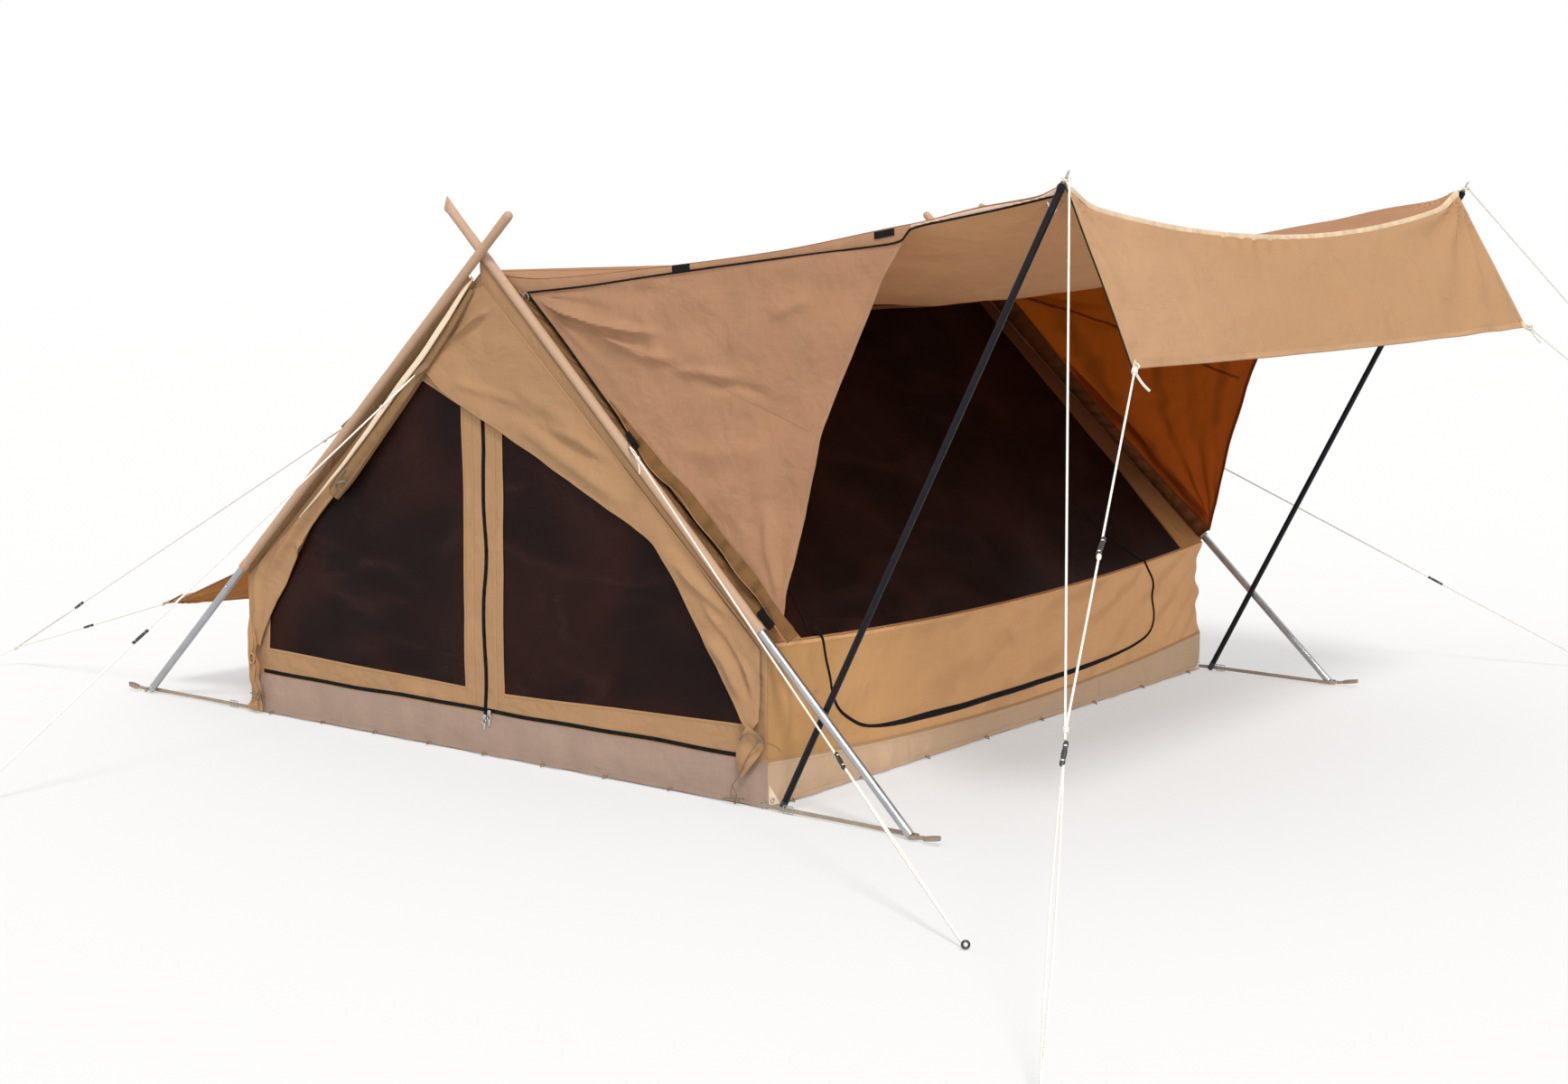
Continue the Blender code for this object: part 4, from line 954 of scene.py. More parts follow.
# ------------------------------------------------------------------ roof slopes of the inner tent
for label, sy in (("front", -1), ("back", 1)):
    cloth = roof_cloth(sy, 0.0004, 0.0 if sy < 0 else 4.0)
    lo_y, inx = WALL_Y - 0.001, HALF_L - 0.0035
    hole = [(-MESH_TOP_X + 0.002, MESH_TOP_Y), (MESH_TOP_X - 0.002, MESH_TOP_Y), (MESH_LOW_X, lo_y - 0.004), (-MESH_LOW_X, lo_y - 0.004)]
    loop = [(-inx, 0.0035), (inx, 0.0035), (inx, lo_y), (-inx, lo_y)]
    net = window_net(cloth, hole, (0, -sy * SLOPE * COS_S, -COS_S), 9.0, 0.009)
    trim = Piece(f"{label}_roof_trim")
    for line in ([hole[0], hole[1]], [hole[1], (MESH_LOW_X + 0.003, lo_y - 0.030)], [hole[0], (-MESH_LOW_X - 0.003, lo_y - 0.030)]):
        trim.add(g_strip(cloth, line, 0.010, 0.0012, 0.0012, 0.02), M_ROOF)
    if sy < 0:
        # the door zip's arms run on up the mesh
        trim.add(g_strip(net, rounded([(-1.130, 1.120), (-1.090, 1.060), (-1.058, 0.985), (-1.050, 0.900), (-1.062, 0.850)]), 0.006, 0.0022, 0.0010), M_ZIP)
        trim.add(g_strip(net, rounded([(0.893, 1.120), (0.860, 1.050), (0.820, 0.950), (0.805, 0.889)]), 0.006, 0.0022, 0.0010), M_ZIP)
    trim = trim.make()
    sheet(f"{label}_roof_border_cloth", g_panel(cloth, [loop, hole], 0.024), M_ROOF, f"{label}_roof_border", "canvas_tan")
    over = 0.003
    loop = [(-MESH_TOP_X - over, MESH_TOP_Y - over), (MESH_TOP_X + over, MESH_TOP_Y - over), (MESH_LOW_X + over, lo_y - 0.002), (-MESH_LOW_X - over, lo_y - 0.002)]
    sheet(f"{label}_roof_mesh_net", g_panel(net, [loop], 0.030, 0.0006), M_MESH, f"{label}_roof_mesh", "mesh_dark")

# ------------------------------------------------------------------ left gable: mesh windows
BAND_BACK, BAND_FRONT = 0.085, -0.078
MESH_BACK = [(0.276, 1.203), (0.404, 1.069), (0.821, 0.659), (1.029, 0.363), (1.035, 0.227), (BAND_BACK, 0.209), (BAND_BACK, 1.116)]
MESH_FRONT = [(BAND_FRONT, 1.045), (BAND_FRONT, 0.206), (-1.060, 0.238), (-1.040, 0.370), (-0.821, 0.659), (-0.404, 1.069), (-0.276, 1.190)]
OUTLINE = [(-WALL_Y, SKIRT_Z - 0.002), (WALL_Y, SKIRT_Z - 0.002), (WALL_Y, EAVE_Z - 0.002), (0.0, RIDGE_Z - 0.002), (-WALL_Y, EAVE_Z - 0.002)]


def grown(loop, gap):
    pts = np.array(loop)
    area = sum(pts[i][0] * pts[(i + 1) % len(pts)][1] - pts[(i + 1) % len(pts)][0] * pts[i][1] for i in range(len(pts)))
    sgn, out = (1 if area > 0 else -1), []
    for i, p in enumerate(pts):
        d1, d2 = unit(p - pts[i - 1]), unit(pts[(i + 1) % len(pts)] - p)
        n1, n2 = np.array([-d1[1], d1[0]]) * sgn, np.array([-d2[1], d2[0]]) * sgn
        m = unit(n1 + n2)
        out.append(tuple(p - m * gap / max(0.4, m @ n1)))
    return out


gable_l = gable_cloth(-1)
trim = Piece("left_gable_trim")
for loop in (MESH_BACK, MESH_FRONT):
    for p, q in zip(loop, loop[1:] + loop[:1]):
        trim.add(g_strip(gable_l, [p, q], 0.008, 0.0012, 0.0010, 0.02), M_SEAM)
for x in (BAND_BACK - 0.036, BAND_FRONT + 0.032):
    trim.add(g_strip(gable_l, [(x, 0.160), (x, 1.09)], 0.010, 0.0012, 0.0010, 0.02), M_SEAM)
trim.add(g_strip(gable_l, [(-1.126, 0.150), (-1.126, 0.480)], 0.008, 0.0014, 0.0012, 0.02), M_SEAM)
trim = trim.make()
zips = Piece("left_door_zip_tape")
up = [(0.0042 * math.sin(17 * z) - 0.0060 * math.exp(-((z - 0.66) / 0.13) ** 2), z) for z in np.linspace(1.108, 0.120, 46)]
zipper(zips, gable_l, up, 0.0145, 0.0020, 0.0022, (0.002, 0.126))
wob = [(y, 0.148 + 0.0018 * math.sin(7 * y) + 0.001 * math.sin(17 * y + 1)) for y in np.linspace(1.06, -1.025, 60)]
zipper(zips, gable_l, wob, 0.0125, 0.0020, 0.0019, (-0.020, 0.142))
zips.make("left_door_zip", slot="zip_black")
sheet("left_gable_cloth", g_panel(gable_l, [OUTLINE, MESH_BACK, MESH_FRONT], 0.018), M_TAN, "left_gable_panel", "canvas_tan")
for name, loop in (("back", MESH_BACK), ("front", MESH_FRONT)):
    net_l = window_net(gable_l, loop, (1, 0, 0), 5.0, 0.006)
    sheet(f"left_gable_net_{name}", g_panel(net_l, [grown(loop, 0.004)], 0.022, 0.0006), M_MESH, f"left_gable_mesh_{name}", "mesh_dark")

# ------------------------------------------------------------------ left door: the front half, drawn aside and tied at its corner
FLAP_EDGE = [(0.245, 1.232), (0.160, 1.160), (0.069, 1.112), (-0.087, 1.045), (-0.400, 0.897), (-0.640, 0.790), (-0.714, 0.749), (-0.765, 0.690),
             (-0.880, 0.515), (-1.040, 0.268), (-1.085, 0.222)]
FLAP_FOLDS = [([(-0.069, 1.434), (0.040, 1.372), (0.142, 1.312)], 0.0130, 0.010), ([(-0.061, 1.414), (0.070, 1.340), (0.179, 1.274)], -0.0080, 0.010),
              ([(-0.040, 1.470), (0.06, 1.395), (0.12, 1.345)], -0.0060, 0.011),
              ([(-0.778, 0.710), (-0.900, 0.625), (-1.029, 0.542)], 0.0170, 0.016), ([(-0.740, 0.770), (-0.860, 0.720), (-0.960, 0.640)], -0.0080, 0.016),
              ([(-0.270, 1.045), (-0.420, 1.000), (-0.560, 0.960)], -0.0042, 0.015), ([(-0.240, 1.085), (-0.420, 1.035), (-0.540, 0.995)], 0.0062, 0.017),
              ([(-0.100, 1.100), (-0.330, 0.990), (-0.640, 0.840)], 0.0100, 0.024), ([(-0.080, 1.220), (-0.350, 1.090), (-0.560, 0.960)], 0.0070, 0.032),
              ([(-0.900, 0.500), (-0.985, 0.420), (-1.060, 0.300)], 0.0130, 0.017), ([(-0.930, 0.560), (-1.030, 0.420), (-1.085, 0.290)], -0.0085, 0.015),
              ([(-0.880, 0.620), (-1.060, 0.400), (-1.098, 0.300)], 0.0090, 0.012), ([(0.150, 1.200), (-0.05, 1.160), (-0.20, 1.13)], 0.0060, 0.016)]
flap_waves = waves(21, 8, 0.10, 0.30, 1.0)


def flap_point(a, b):
    d, t = along(FLAP_EDGE, a, b)
    seam = (RIDGE_Z - SLOPE * np.abs(a) - b) * COS_S
    free = smooth(seam / 0.09)
    h = 0.0062 + free * (0.010 * smooth(1 - d / 0.16) + 0.0028 * flap_waves(a, b) + 0.0030 * w_broad(a, b) + 0.0006 * w_fine(a, b)) + free * 1.25 * folds(a, b, FLAP_FOLDS)
    h = h + 0.006 * smooth(1 - np.hypot(a + 1.075, b - 0.25) / 0.12)
    return stack(-(HALF_L + np.maximum(h, 0.0045)), a, b)


flap_l = Cloth(flap_point, (-1, 0, 0))
flap_loop = [tuple(p) for p in rounded(FLAP_EDGE, 2)] + [(-1.112, 0.262), (-1.106, 0.470), (-0.560, 0.998), (-0.020, 1.495), (0.030, 1.480), (0.120, 1.385), (0.215, 1.270)]
trim = Piece("left_door_flap_trim")
edge = rounded(FLAP_EDGE, 2)
trim.add(g_strip(flap_l, edge + np.array([0.0, 0.007]), 0.011, 0.0010, 0.0018, 0.010), M_TAN)
trim.add(g_strip(flap_l, [(-0.094, 1.420), (-0.415, 1.125), (-0.75, 0.816), (-1.06, 0.530)], 0.008, 0.0012, 0.0010, 0.012), M_SEAM)
trim = trim.make()
sheet("left_door_flap_cloth", g_panel(flap_l, [flap_loop], 0.0075), M_TAN, "left_door_flap", "canvas_tan")

# the flap's corner, pulled through its tie and hanging
tail_out = 0.022


def tail_point(a, b):
    h = tail_out + 0.006 * np.sin((a + 1.09) * 60) + 0.004 * np.sin((b - 0.14) * 70 + 1) + 0.010 * smooth((b - 0.15) / 0.10)
    return stack(-(HALF_L + h), a, b)


tail = Cloth(tail_point, (-1, 0, 0))
tail_loop = [tuple(p) for p in rounded([(-1.085, 0.250), (-1.060, 0.212), (-1.036, 0.185), (-1.031, 0.150), (-1.040, 0.100), (-1.052, 0.084), (-1.080, 0.118),
                                       (-1.108, 0.150), (-1.131, 0.190), (-1.118, 0.225)], 2)]
knot = (-(HALF_L + 0.034), -1.122, 0.208)
cords = Piece("left_door_flap_tie")
cords.add(g_tube(rounded([(-1.384, -1.135, 0.214), (-1.388, -1.110, 0.226), (-1.388, -1.075, 0.226), (-1.384, -1.055, 0.206), (-1.374, -1.047, 0.198), (-1.362, -1.050, 0.196)], 2), 0.0019, 8), M_CORD)
cords.add(g_tube(rounded([(-1.384, -1.125, 0.208), (-1.384, -1.160, 0.206), (-1.376, -1.182, 0.200), (-1.366, -1.190, 0.184)], 2), 0.0017, 8), M_CORD)
cords.add(g_ball(knot, 0.0062, (1, 1, 0.9)), M_CORD)
cords.add(g_tube(rounded([(-1.386, -1.122, 0.206), (-1.382, -1.085, 0.160), (-1.378, -1.048, 0.098), (-1.376, -1.020, 0.058), (-1.374, -1.010, 0.034), (-1.374, -1.024, 0.020),
                          (-1.376, -1.040, 0.034), (-1.374, -1.016, 0.062)], 2), 0.0017, 8), M_CORD)
cords.add(g_tube(rounded([(-1.374, -1.030, 0.022), (-1.378, -1.058, 0.026), (-1.376, -1.066, 0.028)], 1), 0.0028, 8), M_CORD)
cords.add(g_tube([(-1.374, -0.984, 0.016), (-1.374, -1.050, 0.026)], 0.0026, 10), M_CORD)
cords = cords.make()
sheet("left_door_flap_tail", g_panel(tail, [tail_loop], 0.006), M_TAN, ())

# ------------------------------------------------------------------ left door: the back half, rolled along the slope, open below its tie
ROLL = [(0.022, 1.480, 0.008, 0.005), (0.088, 1.392, 0.014, 0.009), (0.186, 1.282, 0.020, 0.012), (0.296, 1.168, 0.025, 0.014), (0.406, 1.057, 0.028, 0.015),
        (0.515, 0.944, 0.031, 0.016), (0.606, 0.851, 0.033, 0.016), (0.668, 0.797, 0.028, 0.012)]
stations = []
for k, (y, z, wide, deep) in enumerate([tuple(p) for p in rounded(ROLL, 2)]):
    side = unit((0, 0.70, 0.71))
    stations.append(((-(HALF_L + 0.008 + deep), y, z), side, (-1.0, 0, 0), wide, deep))
roll = Piece("left_door_roll_bundle")
# the rolled bundle is coloured with painted shade
roll.add(g_loft(stations, 28, 0.22, 4), M_PAINTED_SHADE_TAN)
cream = [(0.011, 1.520), (0.100, 1.405), (0.183, 1.309), (0.258, 1.229), (0.329, 1.166), (0.402, 1.086), (0.524, 0.963), (0.649, 0.848), (0.748, 0.769), (0.831, 0.703)]


def roll_front(a, b):
    d, t = along(cream, a, b)
    return stack(-(HALF_L + np.interp(t, (0.0, 0.1, 0.3, 0.6, 0.8, 0.92, 1.0), (0.022, 0.034, 0.043, 0.047, 0.044, 0.034, 0.026)) + 0.0010 * np.sin(40 * t)), a, b)


# light strip along the roll's edge: partly the cream inner tape, partly a painted highlight on the lit fold
roll.add(g_strip(Cloth(roll_front, (-1, 0, 0)), rounded(cream, 2), [0.012, 0.020, 0.020, 0.018, 0.013, 0.008, 0.004], 0.001, 0.0040, 0.012, 4, 0.002), M_CREAM)
roll.add(g_tube(rounded([(-1.372, 0.560, 0.905), (-1.396, 0.585, 0.880), (-1.402, 0.612, 0.852), (-1.398, 0.630, 0.828), (-1.376, 0.640, 0.812)], 2), 0.0030, 8), M_CORD)
roll.add(g_ring((-1.402, 0.594, 0.832), (1, 0.15, 0), 0.011, 0.0018, oval=1.5), M_CORD)
roll.add(g_tube([(-1.404, 0.572, 0.846), (-1.404, 0.612, 0.838)], 0.0034, 10), M_CORD)

OPEN_L = [(0.640, 0.868), (0.742, 0.786), (0.858, 0.681), (0.975, 0.600), (1.086, 0.507), (1.104, 0.404), (1.113, 0.308), (1.118, 0.262)]
OPEN_R = [(1.062, 0.236), (1.040, 0.300), (0.985, 0.395), (0.950, 0.435), (0.886, 0.535), (0.809, 0.661), (0.720, 0.745), (0.632, 0.815), (0.609, 0.847)]
OPEN_FOLDS = [([(0.640, 0.850), (0.780, 0.740), (0.930, 0.600), (1.060, 0.430)], 0.015, 0.018), ([(0.700, 0.770), (0.850, 0.650), (0.960, 0.480), (1.075, 0.290)], -0.009, 0.016),
              ([(0.820, 0.700), (0.990, 0.570), (1.075, 0.470)], -0.009, 0.013), ([(0.860, 0.560), (0.850, 0.600), (0.890, 0.610)], 0.009, 0.012),
              ([(1.085, 0.480), (1.080, 0.360), (1.095, 0.270)], 0.013, 0.013), ([(0.930, 0.520), (1.010, 0.400), (1.072, 0.270)], 0.009, 0.012)]


def open_point(a, b):
    h = 0.008 + 0.012 * smooth((b - 0.45) / 0.45) + folds(a, b, OPEN_FOLDS) + 0.0018 * flap_waves(a, b) + 0.0010 * w_fine(a, b)
    h = h + 0.010 * smooth(1 - np.hypot(a - 1.09, b - 0.25) / 0.12)
    return stack(-(HALF_L + np.maximum(h, 0.004)), a, b)


opened = Cloth(open_point, (-1, 0, 0))
roll.add(g_strip(opened, rounded(OPEN_R[::-1], 2) + np.array([0.006, 0.004]), 0.010, 0.0012, 0.0022, 0.010), M_SEAM)
# the foot of the door, bunched and tied at the corner
BUNCH = [((-1.366, 1.106, 0.330), 0.006, 0.004), ((-1.370, 1.100, 0.285), 0.014, 0.009), ((-1.376, 1.086, 0.245), 0.017, 0.012), ((-1.379, 1.092, 0.205), 0.013, 0.010),
         ((-1.374, 1.080, 0.165), 0.023, 0.014), ((-1.377, 1.088, 0.120), 0.017, 0.012), ((-1.372, 1.074, 0.085), 0.019, 0.012), ((-1.370, 1.080, 0.062), 0.013, 0.009),
         ((-1.372, 1.086, 0.030), 0.026, 0.011), ((-1.372, 1.094, 0.010), 0.034, 0.007)]
st = []
pts = rounded([c for c, _, _ in BUNCH], 2)
sz = rounded([(w, d) for _, w, d in BUNCH], 2)
for c, (w, d) in zip(pts, sz):
    st.append((c, (0, 1, 0), (-1, 0, 0), w, d))
roll.add(g_loft(st, 40, 0.42, 12), M_TAN)
# the hollow that the gathered edge leaves above the knot, its inside a dark ball: painted shade
roll.add(g_ring((-1.392, 1.076, 0.196), (1, 0.2, 0.0), 0.0105, 0.0042, 24, 8, 1.7), M_TAN)
roll.add(g_ball((-1.389, 1.076, 0.196), 0.0105, (0.35, 0.95, 1.6)), M_PAINTED_SHADE_TAN)
roll.add(g_tube(rounded([(-1.356, 1.060, 0.060), (-1.384, 1.056, 0.066), (-1.390, 1.082, 0.074), (-1.384, 1.104, 0.070), (-1.362, 1.104, 0.064)], 2), 0.0018, 8), M_CORD)
roll.add(g_tube(rounded([(-1.356, 1.058, 0.074), (-1.382, 1.050, 0.070), (-1.390, 1.066, 0.058), (-1.384, 1.100, 0.050), (-1.360, 1.106, 0.052)], 2), 0.0018, 8), M_CORD)
roll.add(g_ball((-1.388, 1.050, 0.062), 0.0055), M_CORD)
roll.add(g_tube(rounded([(-1.388, 1.049, 0.060), (-1.386, 1.043, 0.105), (-1.378, 1.046, 0.110), (-1.380, 1.040, 0.060), (-1.376, 1.038, 0.015)], 2), 0.0016, 8), M_CORD)
roll = roll.make("left_door_roll", slot="canvas_tan")
sheet("left_door_open_cloth", g_panel(opened, [[tuple(p) for p in rounded(OPEN_L, 1)] + [tuple(p) for p in rounded(OPEN_R, 1)]], 0.009), M_TAN, ())

# corner patch with its grommet, low on each front corner
for sx in (-1, 1):
    for sy in (-1, 1):
        front = skirt_long_cloth(sy)
        piece = Piece(f"corner_patch_{'front' if sy < 0 else 'back'}_{'left' if sx < 0 else 'right'}")
        tri = [(sx * 1.346, 0.010), (sx * 1.300, 0.010), (sx * 1.346, 0.072)]
        piece.add(g_panel(front, [tri], 0.010, 0.0010, 0.0016), M_CREAM)
        P, N = front.at(np.array([sx * 1.333]), np.array([0.024]), 0.0026)
        piece.add(g_ring(P[0], N[0], 0.0065, 0.0017), M_STEEL)
        piece.make()

# ------------------------------------------------------------------ right gable: the door is zipped shut
gable_r = gable_cloth(1, 0.0, 7.0)
trim = Piece("right_gable_trim")
trim.add(g_strip(gable_r, [(-0.034, 0.150), (-0.034, 1.47)], 0.050, 0.0060, 0.0014, 0.03, 3, 0.0015), M_TAN)
trim.add(g_strip(gable_r, [(0.050, 0.150), (0.050, 1.44)], 0.010, 0.0014, 0.0010, 0.03), M_SEAM)
for s in (-1, 1):
    trim.add(g_strip(gable_r, [(s * 1.120, 0.150), (s * 1.120, 0.480)], 0.010, 0.0014, 0.0010, 0.03), M_SEAM)
    trim.add(g_strip(gable_r, [(s * 0.05, 1.455), (s * 1.10, 0.492)], 0.010, 0.0014, 0.0010, 0.03), M_SEAM)
trim = trim.make()
zips = Piece("right_door_zip_tape")
zipper(zips, gable_r, [(0.0, 1.450), (0.0, 0.120)], 0.018, 0.0020, 0.0026, (0.0, 0.116))
zipper(zips, gable_r, [(-1.05, 0.150), (1.05, 0.150)], 0.016, 0.0020, 0.0024)
zips.make("right_door_zip", slot="zip_black")
sheet("right_gable_cloth", g_panel(gable_r, [OUTLINE], 0.020), M_TAN, "right_gable_panel", "canvas_tan")

# ------------------------------------------------------------------ crossed frame poles, their sleeves and the webs that join them to the tent
for label, sx in (("left", -1), ("right", 1)):
    for where, sy in (("front", -1), ("back", 1)):
        outside = (sx < 0) == (sy > 0)
        past = PASS_OUT if outside else PASS_IN
        foot, cross = np.array([sx * FOOT_X, sy * FOOT_Y, 0.0]), np.array([sx * past[0], -sy * past[1], past[2]])
        w = unit(cross - foot)
        reach, tip = np.linalg.norm(cross - foot), (TIP_SHORT if outside else TIP_LONG)
        lift = TUBE_R * math.sqrt(1 - w[2] ** 2) + 0.0005
        start = foot + w * (lift / w[2])
        total = reach + tip - lift / w[2]
        s0 = (FOOT_Y - SLEEVE_Y) / abs(w[1]) - lift / w[2]
        pole = Piece(f"frame_tube_{where}_{label}")
        pole.add(g_lathe(start, w, [(0.022, 0.0118, 0.0118), (0.0225, TUBE_R, TUBE_R), (total - 0.006, TUBE_R, TUBE_R), (total - 0.001, 0.0118, 0.0118)], 36), M_ALU)
        pole.add(g_lathe(start, w, [(0.0, 0.0085, 0.0085), (0.004, 0.0128, 0.0128), (0.024, TUBE_R + 0.0005, TUBE_R + 0.0005), (0.0245, 0.0120, 0.0120)], 28), M_STEEL)
        side = unit(np.cross(w, (1.0, 0, 0)))
        pole.add(g_lathe(start + w * (s0 - 0.11) + np.array([sx * (TUBE_R - 0.002), 0, 0]), (sx, 0, 0), [(0, 0.0045, 0.0045), (0.0035, 0.0045, 0.0045), (0.0055, 0.003, 0.003)], 16), M_STEEL)
        pole.make(f"frame_pole_{where}_{label}", slot="tube_silver")
        # sleeve: cloth tube with a few girth wrinkles, flattened at its end
        r = np.random.RandomState(5 + int(outside) + 2 * (sx > 0))
        dist = list(np.arange(s0, total - 0.03, 0.020 * FINE))
        rings = [(s0, 0.0138, 0.0138), (s0, 0.0148, 0.0148)]
        for d in dist[1:]:
            k = 0.0147 + 0.0003 * math.sin(d * 31 + r.uniform(-0.5, 0.5)) + r.uniform(0, 0.0003)
            rings.append((d, k, k + 0.0001))
        if outside:
            rings += [(total - 0.01, 0.0150, 0.0150), (total + 0.003, 0.0146, 0.0146), (total + 0.009, 0.0118, 0.0118), (total + 0.0135, 0.0055, 0.0055), (total + 0.0145, 0.001, 0.001)]
        else:
            rings += [(total - 0.02, 0.0152, 0.0150), (total + 0.004, 0.0175, 0.0105), (total + 0.020, 0.0200, 0.0055), (total + 0.0405, 0.0200, 0.0022)]
        ref = (1, 0, 0) if not outside else None
        shape = g_lathe(start, w, rings, 32, (1.0, 0, 0))
        P = shape[0]
        if not outside:      # the flat end is cut at a slant
            t = smooth(((P - start) @ w - total) / 0.04)
            P -= w * (t * 0.5 * (0.02 - (P - start) @ side * -1))[:, None]
        sleeve = Piece(f"sleeve_cloth_{where}_{label}")
        sleeve.add((P, shape[1], shape[2]), M_SLEEVE)

        def axis_at(t):
            return start + w * t
        # web between the sleeve and the edge of the roof
        n = 60
        ts = np.linspace(s0 + 0.004, FOOT_Y / abs(w[1]) - lift / w[2] - 0.030, n)
        pole_pts = axis_at(ts[:, None])
        yy = np.abs(pole_pts[:, 1])
        down = unit(np.cross(w, (sx * 1.0, 0, 0)))
        down = down * (-1 if down[2] > 0 else 1)
        rows = []
        for q in (0.0, 0.35, 0.7, 1.0):
            edge_y = np.clip(yy - 0.012 * (1 - yy), 0.006, WALL_Y)
            low = stack(np.full(n, sx * (HALF_L + 0.0045)), sy * edge_y, RIDGE_Z - SLOPE * edge_y - 0.020)
            top = pole_pts + down * 0.0135 + np.array([sx * 0.002, 0, 0])
            mid = top * (1 - q) + low * q
            mid[:, 0] += sx * 0.003 * math.sin(math.pi * q) * (1 + 0.4 * np.sin(ts * 23 + 1.0))
            rows.append(mid)
        P = np.stack(rows, 1).reshape(-1, 3)
        uv = stack(np.tile(np.linspace(0, 0.05, 4), n), np.repeat(ts, 4))
        f = grid_faces(3, n - 1)
        if (normals_of(P, [f])[:, 0] * sx).sum() < 0:
            f = f[:, ::-1]
        # the back webs take the painted-shade copy of the tent canvas
        sleeve.add(close(P, [f], uv, 0.0012), M_TAN if where == "front" else M_PAINTED_SHADE_TAN)
        seam = np.stack([(rows[1] * 0.5 + rows[0] * 0.5)[k] + np.array([sx * 0.0012, 0, 0]) for k in range(n)])
        sleeve.add(g_tube(seam, 0.0010, 6), M_SEAM)
        # turned-up end of the sleeve
        sleeve.add(g_lathe(start, w, [(s0 - 0.002, 0.0142, 0.0142), (s0 - 0.0015, 0.0166, 0.0166), (s0 + 0.026, 0.0168, 0.0168), (s0 + 0.027, 0.0150, 0.0150)], 32), M_SLEEVE)
        sleeve.make(f"sleeve_{where}_{label}", slot="canvas_tan")

# ------------------------------------------------------------------ awning poles
for label, sx in (("left", -1), ("right", 1)):
    foot, top = np.array([sx * AWN_FOOT[0], -AWN_FOOT[1], 0.0]), np.array([sx * AWN_TOP[0], -AWN_TOP[1], AWN_TOP[2]])
    w = unit(top - foot)
    reach = np.linalg.norm(top - foot)
    lift = (AWN_R * math.sqrt(1 - w[2] ** 2) + 0.0005) / w[2]
    start, total = foot + w * lift, reach - lift
    pole = Piece(f"awning_tube_{label}")
    rings = [(0.030, 0.0090, 0.0090), (0.031, AWN_R, AWN_R)]
    for k in (0.45, 0.90, 1.35):
        rings += [(k, AWN_R, AWN_R), (k + 0.0006, AWN_R - 0.0007, AWN_R - 0.0007), (k + 0.0030, AWN_R - 0.0007, AWN_R - 0.0007), (k + 0.0036, AWN_R, AWN_R)]
    rings += [(total - 0.020, AWN_R, AWN_R), (total - 0.018, 0.0090, 0.0090)]
    pole.add(g_lathe(start, w, rings, 32), M_POLE)
    pole.add(g_lathe(start, w, [(0, 0.0070, 0.0070), (0.003, 0.0096, 0.0096), (0.026, 0.0108, 0.0108), (0.032, 0.0108, 0.0108), (0.033, 0.0088, 0.0088)], 28), M_CAP)
    pole.add(g_lathe(start, w, [(total - 0.024, 0.0102, 0.0102), (total - 0.021, 0.0112, 0.0112), (total - 0.005, 0.0112, 0.0112), (total - 0.002, 0.0104, 0.0104), (total, 0.0050, 0.0050)], 28), M_POLE)
    pole.add(g_lathe(start, w, [(total - 0.002, 0.0034, 0.0034), (total + SPIKE - 0.006, 0.0032, 0.0032), (total + SPIKE - 0.001, 0.0022, 0.0022), (total + SPIKE, 0.0012, 0.0012)], 18), M_STEEL)
    pole.make(f"awning_pole_{label}", slot="pole_black")


# ------------------------------------------------------------------ the fly: awning roof, drop panel and back half
AWN_FOLDS_U = waves(31, 9, 0.18, 0.50, 1.0)
AWN_FOLDS_F = waves(33, 10, 0.06, 0.16, 1.0, sharp=0.3)


def edge_z(y):
    """The awning's side edge, drawn up to the head of its pole."""
    y = np.asarray(y, float)
    return hermite(AWN_EDGE, y) + 0.013 * smooth((y - 1.60) / 0.25) + 0.022 * np.exp(-((CORNER[1] - y) / 0.05) ** 2)


def awning_base(x, y):
    half = FLY_X + (CORNER[0] - FLY_X) * y / CORNER[1]
    up = (edge_z(y) - hermite(AWN_EDGE, y)) * np.exp(-((half - np.abs(x)) / 0.09) ** 2)
    return hermite(AWN_EDGE, y) + up - hermite(AWN_SAG, y) * (1 - np.clip(x / half, -1, 1) ** 2)


def awning_point(u, v, lift=0.0):
    v = v * 0.99975 + 0.00025
    y = CORNER[1] * v
    half = FLY_X + (CORNER[0] - FLY_X) * v
    x = half * (2 * u - 1)
    s = 2 * u - 1
    fade = smooth((1 - np.abs(s)) / 0.10) * smooth(v / 0.06) * smooth((1 - v) / 0.06)
    h = fade * (0.0055 * AWN_FOLDS_U(x, y) + 0.0030 * w_broad(x, y * 0.6) + 0.0009 * AWN_FOLDS_F(x, y))
    # pull lines that run in from the corners
    for sx in (-1, 1):
        r = np.hypot(x - sx * CORNER[0], y - CORNER[1])
        q = np.arctan2(CORNER[1] - y, np.abs(x - sx * CORNER[0]) + 1e-6)
        h = h + 0.0060 * np.sin(q * 17 + 1.0) * smooth(r / 0.10) * np.exp(-r / 0.35) * smooth((1 - v) / 0.02)
    return stack(x, -y, awning_base(x, y) + h + lift)


awn = Cloth(lambda a, b: awning_point(a, b), (0, 0, 1))
fly_trim = Piece("awning_roof_trim")
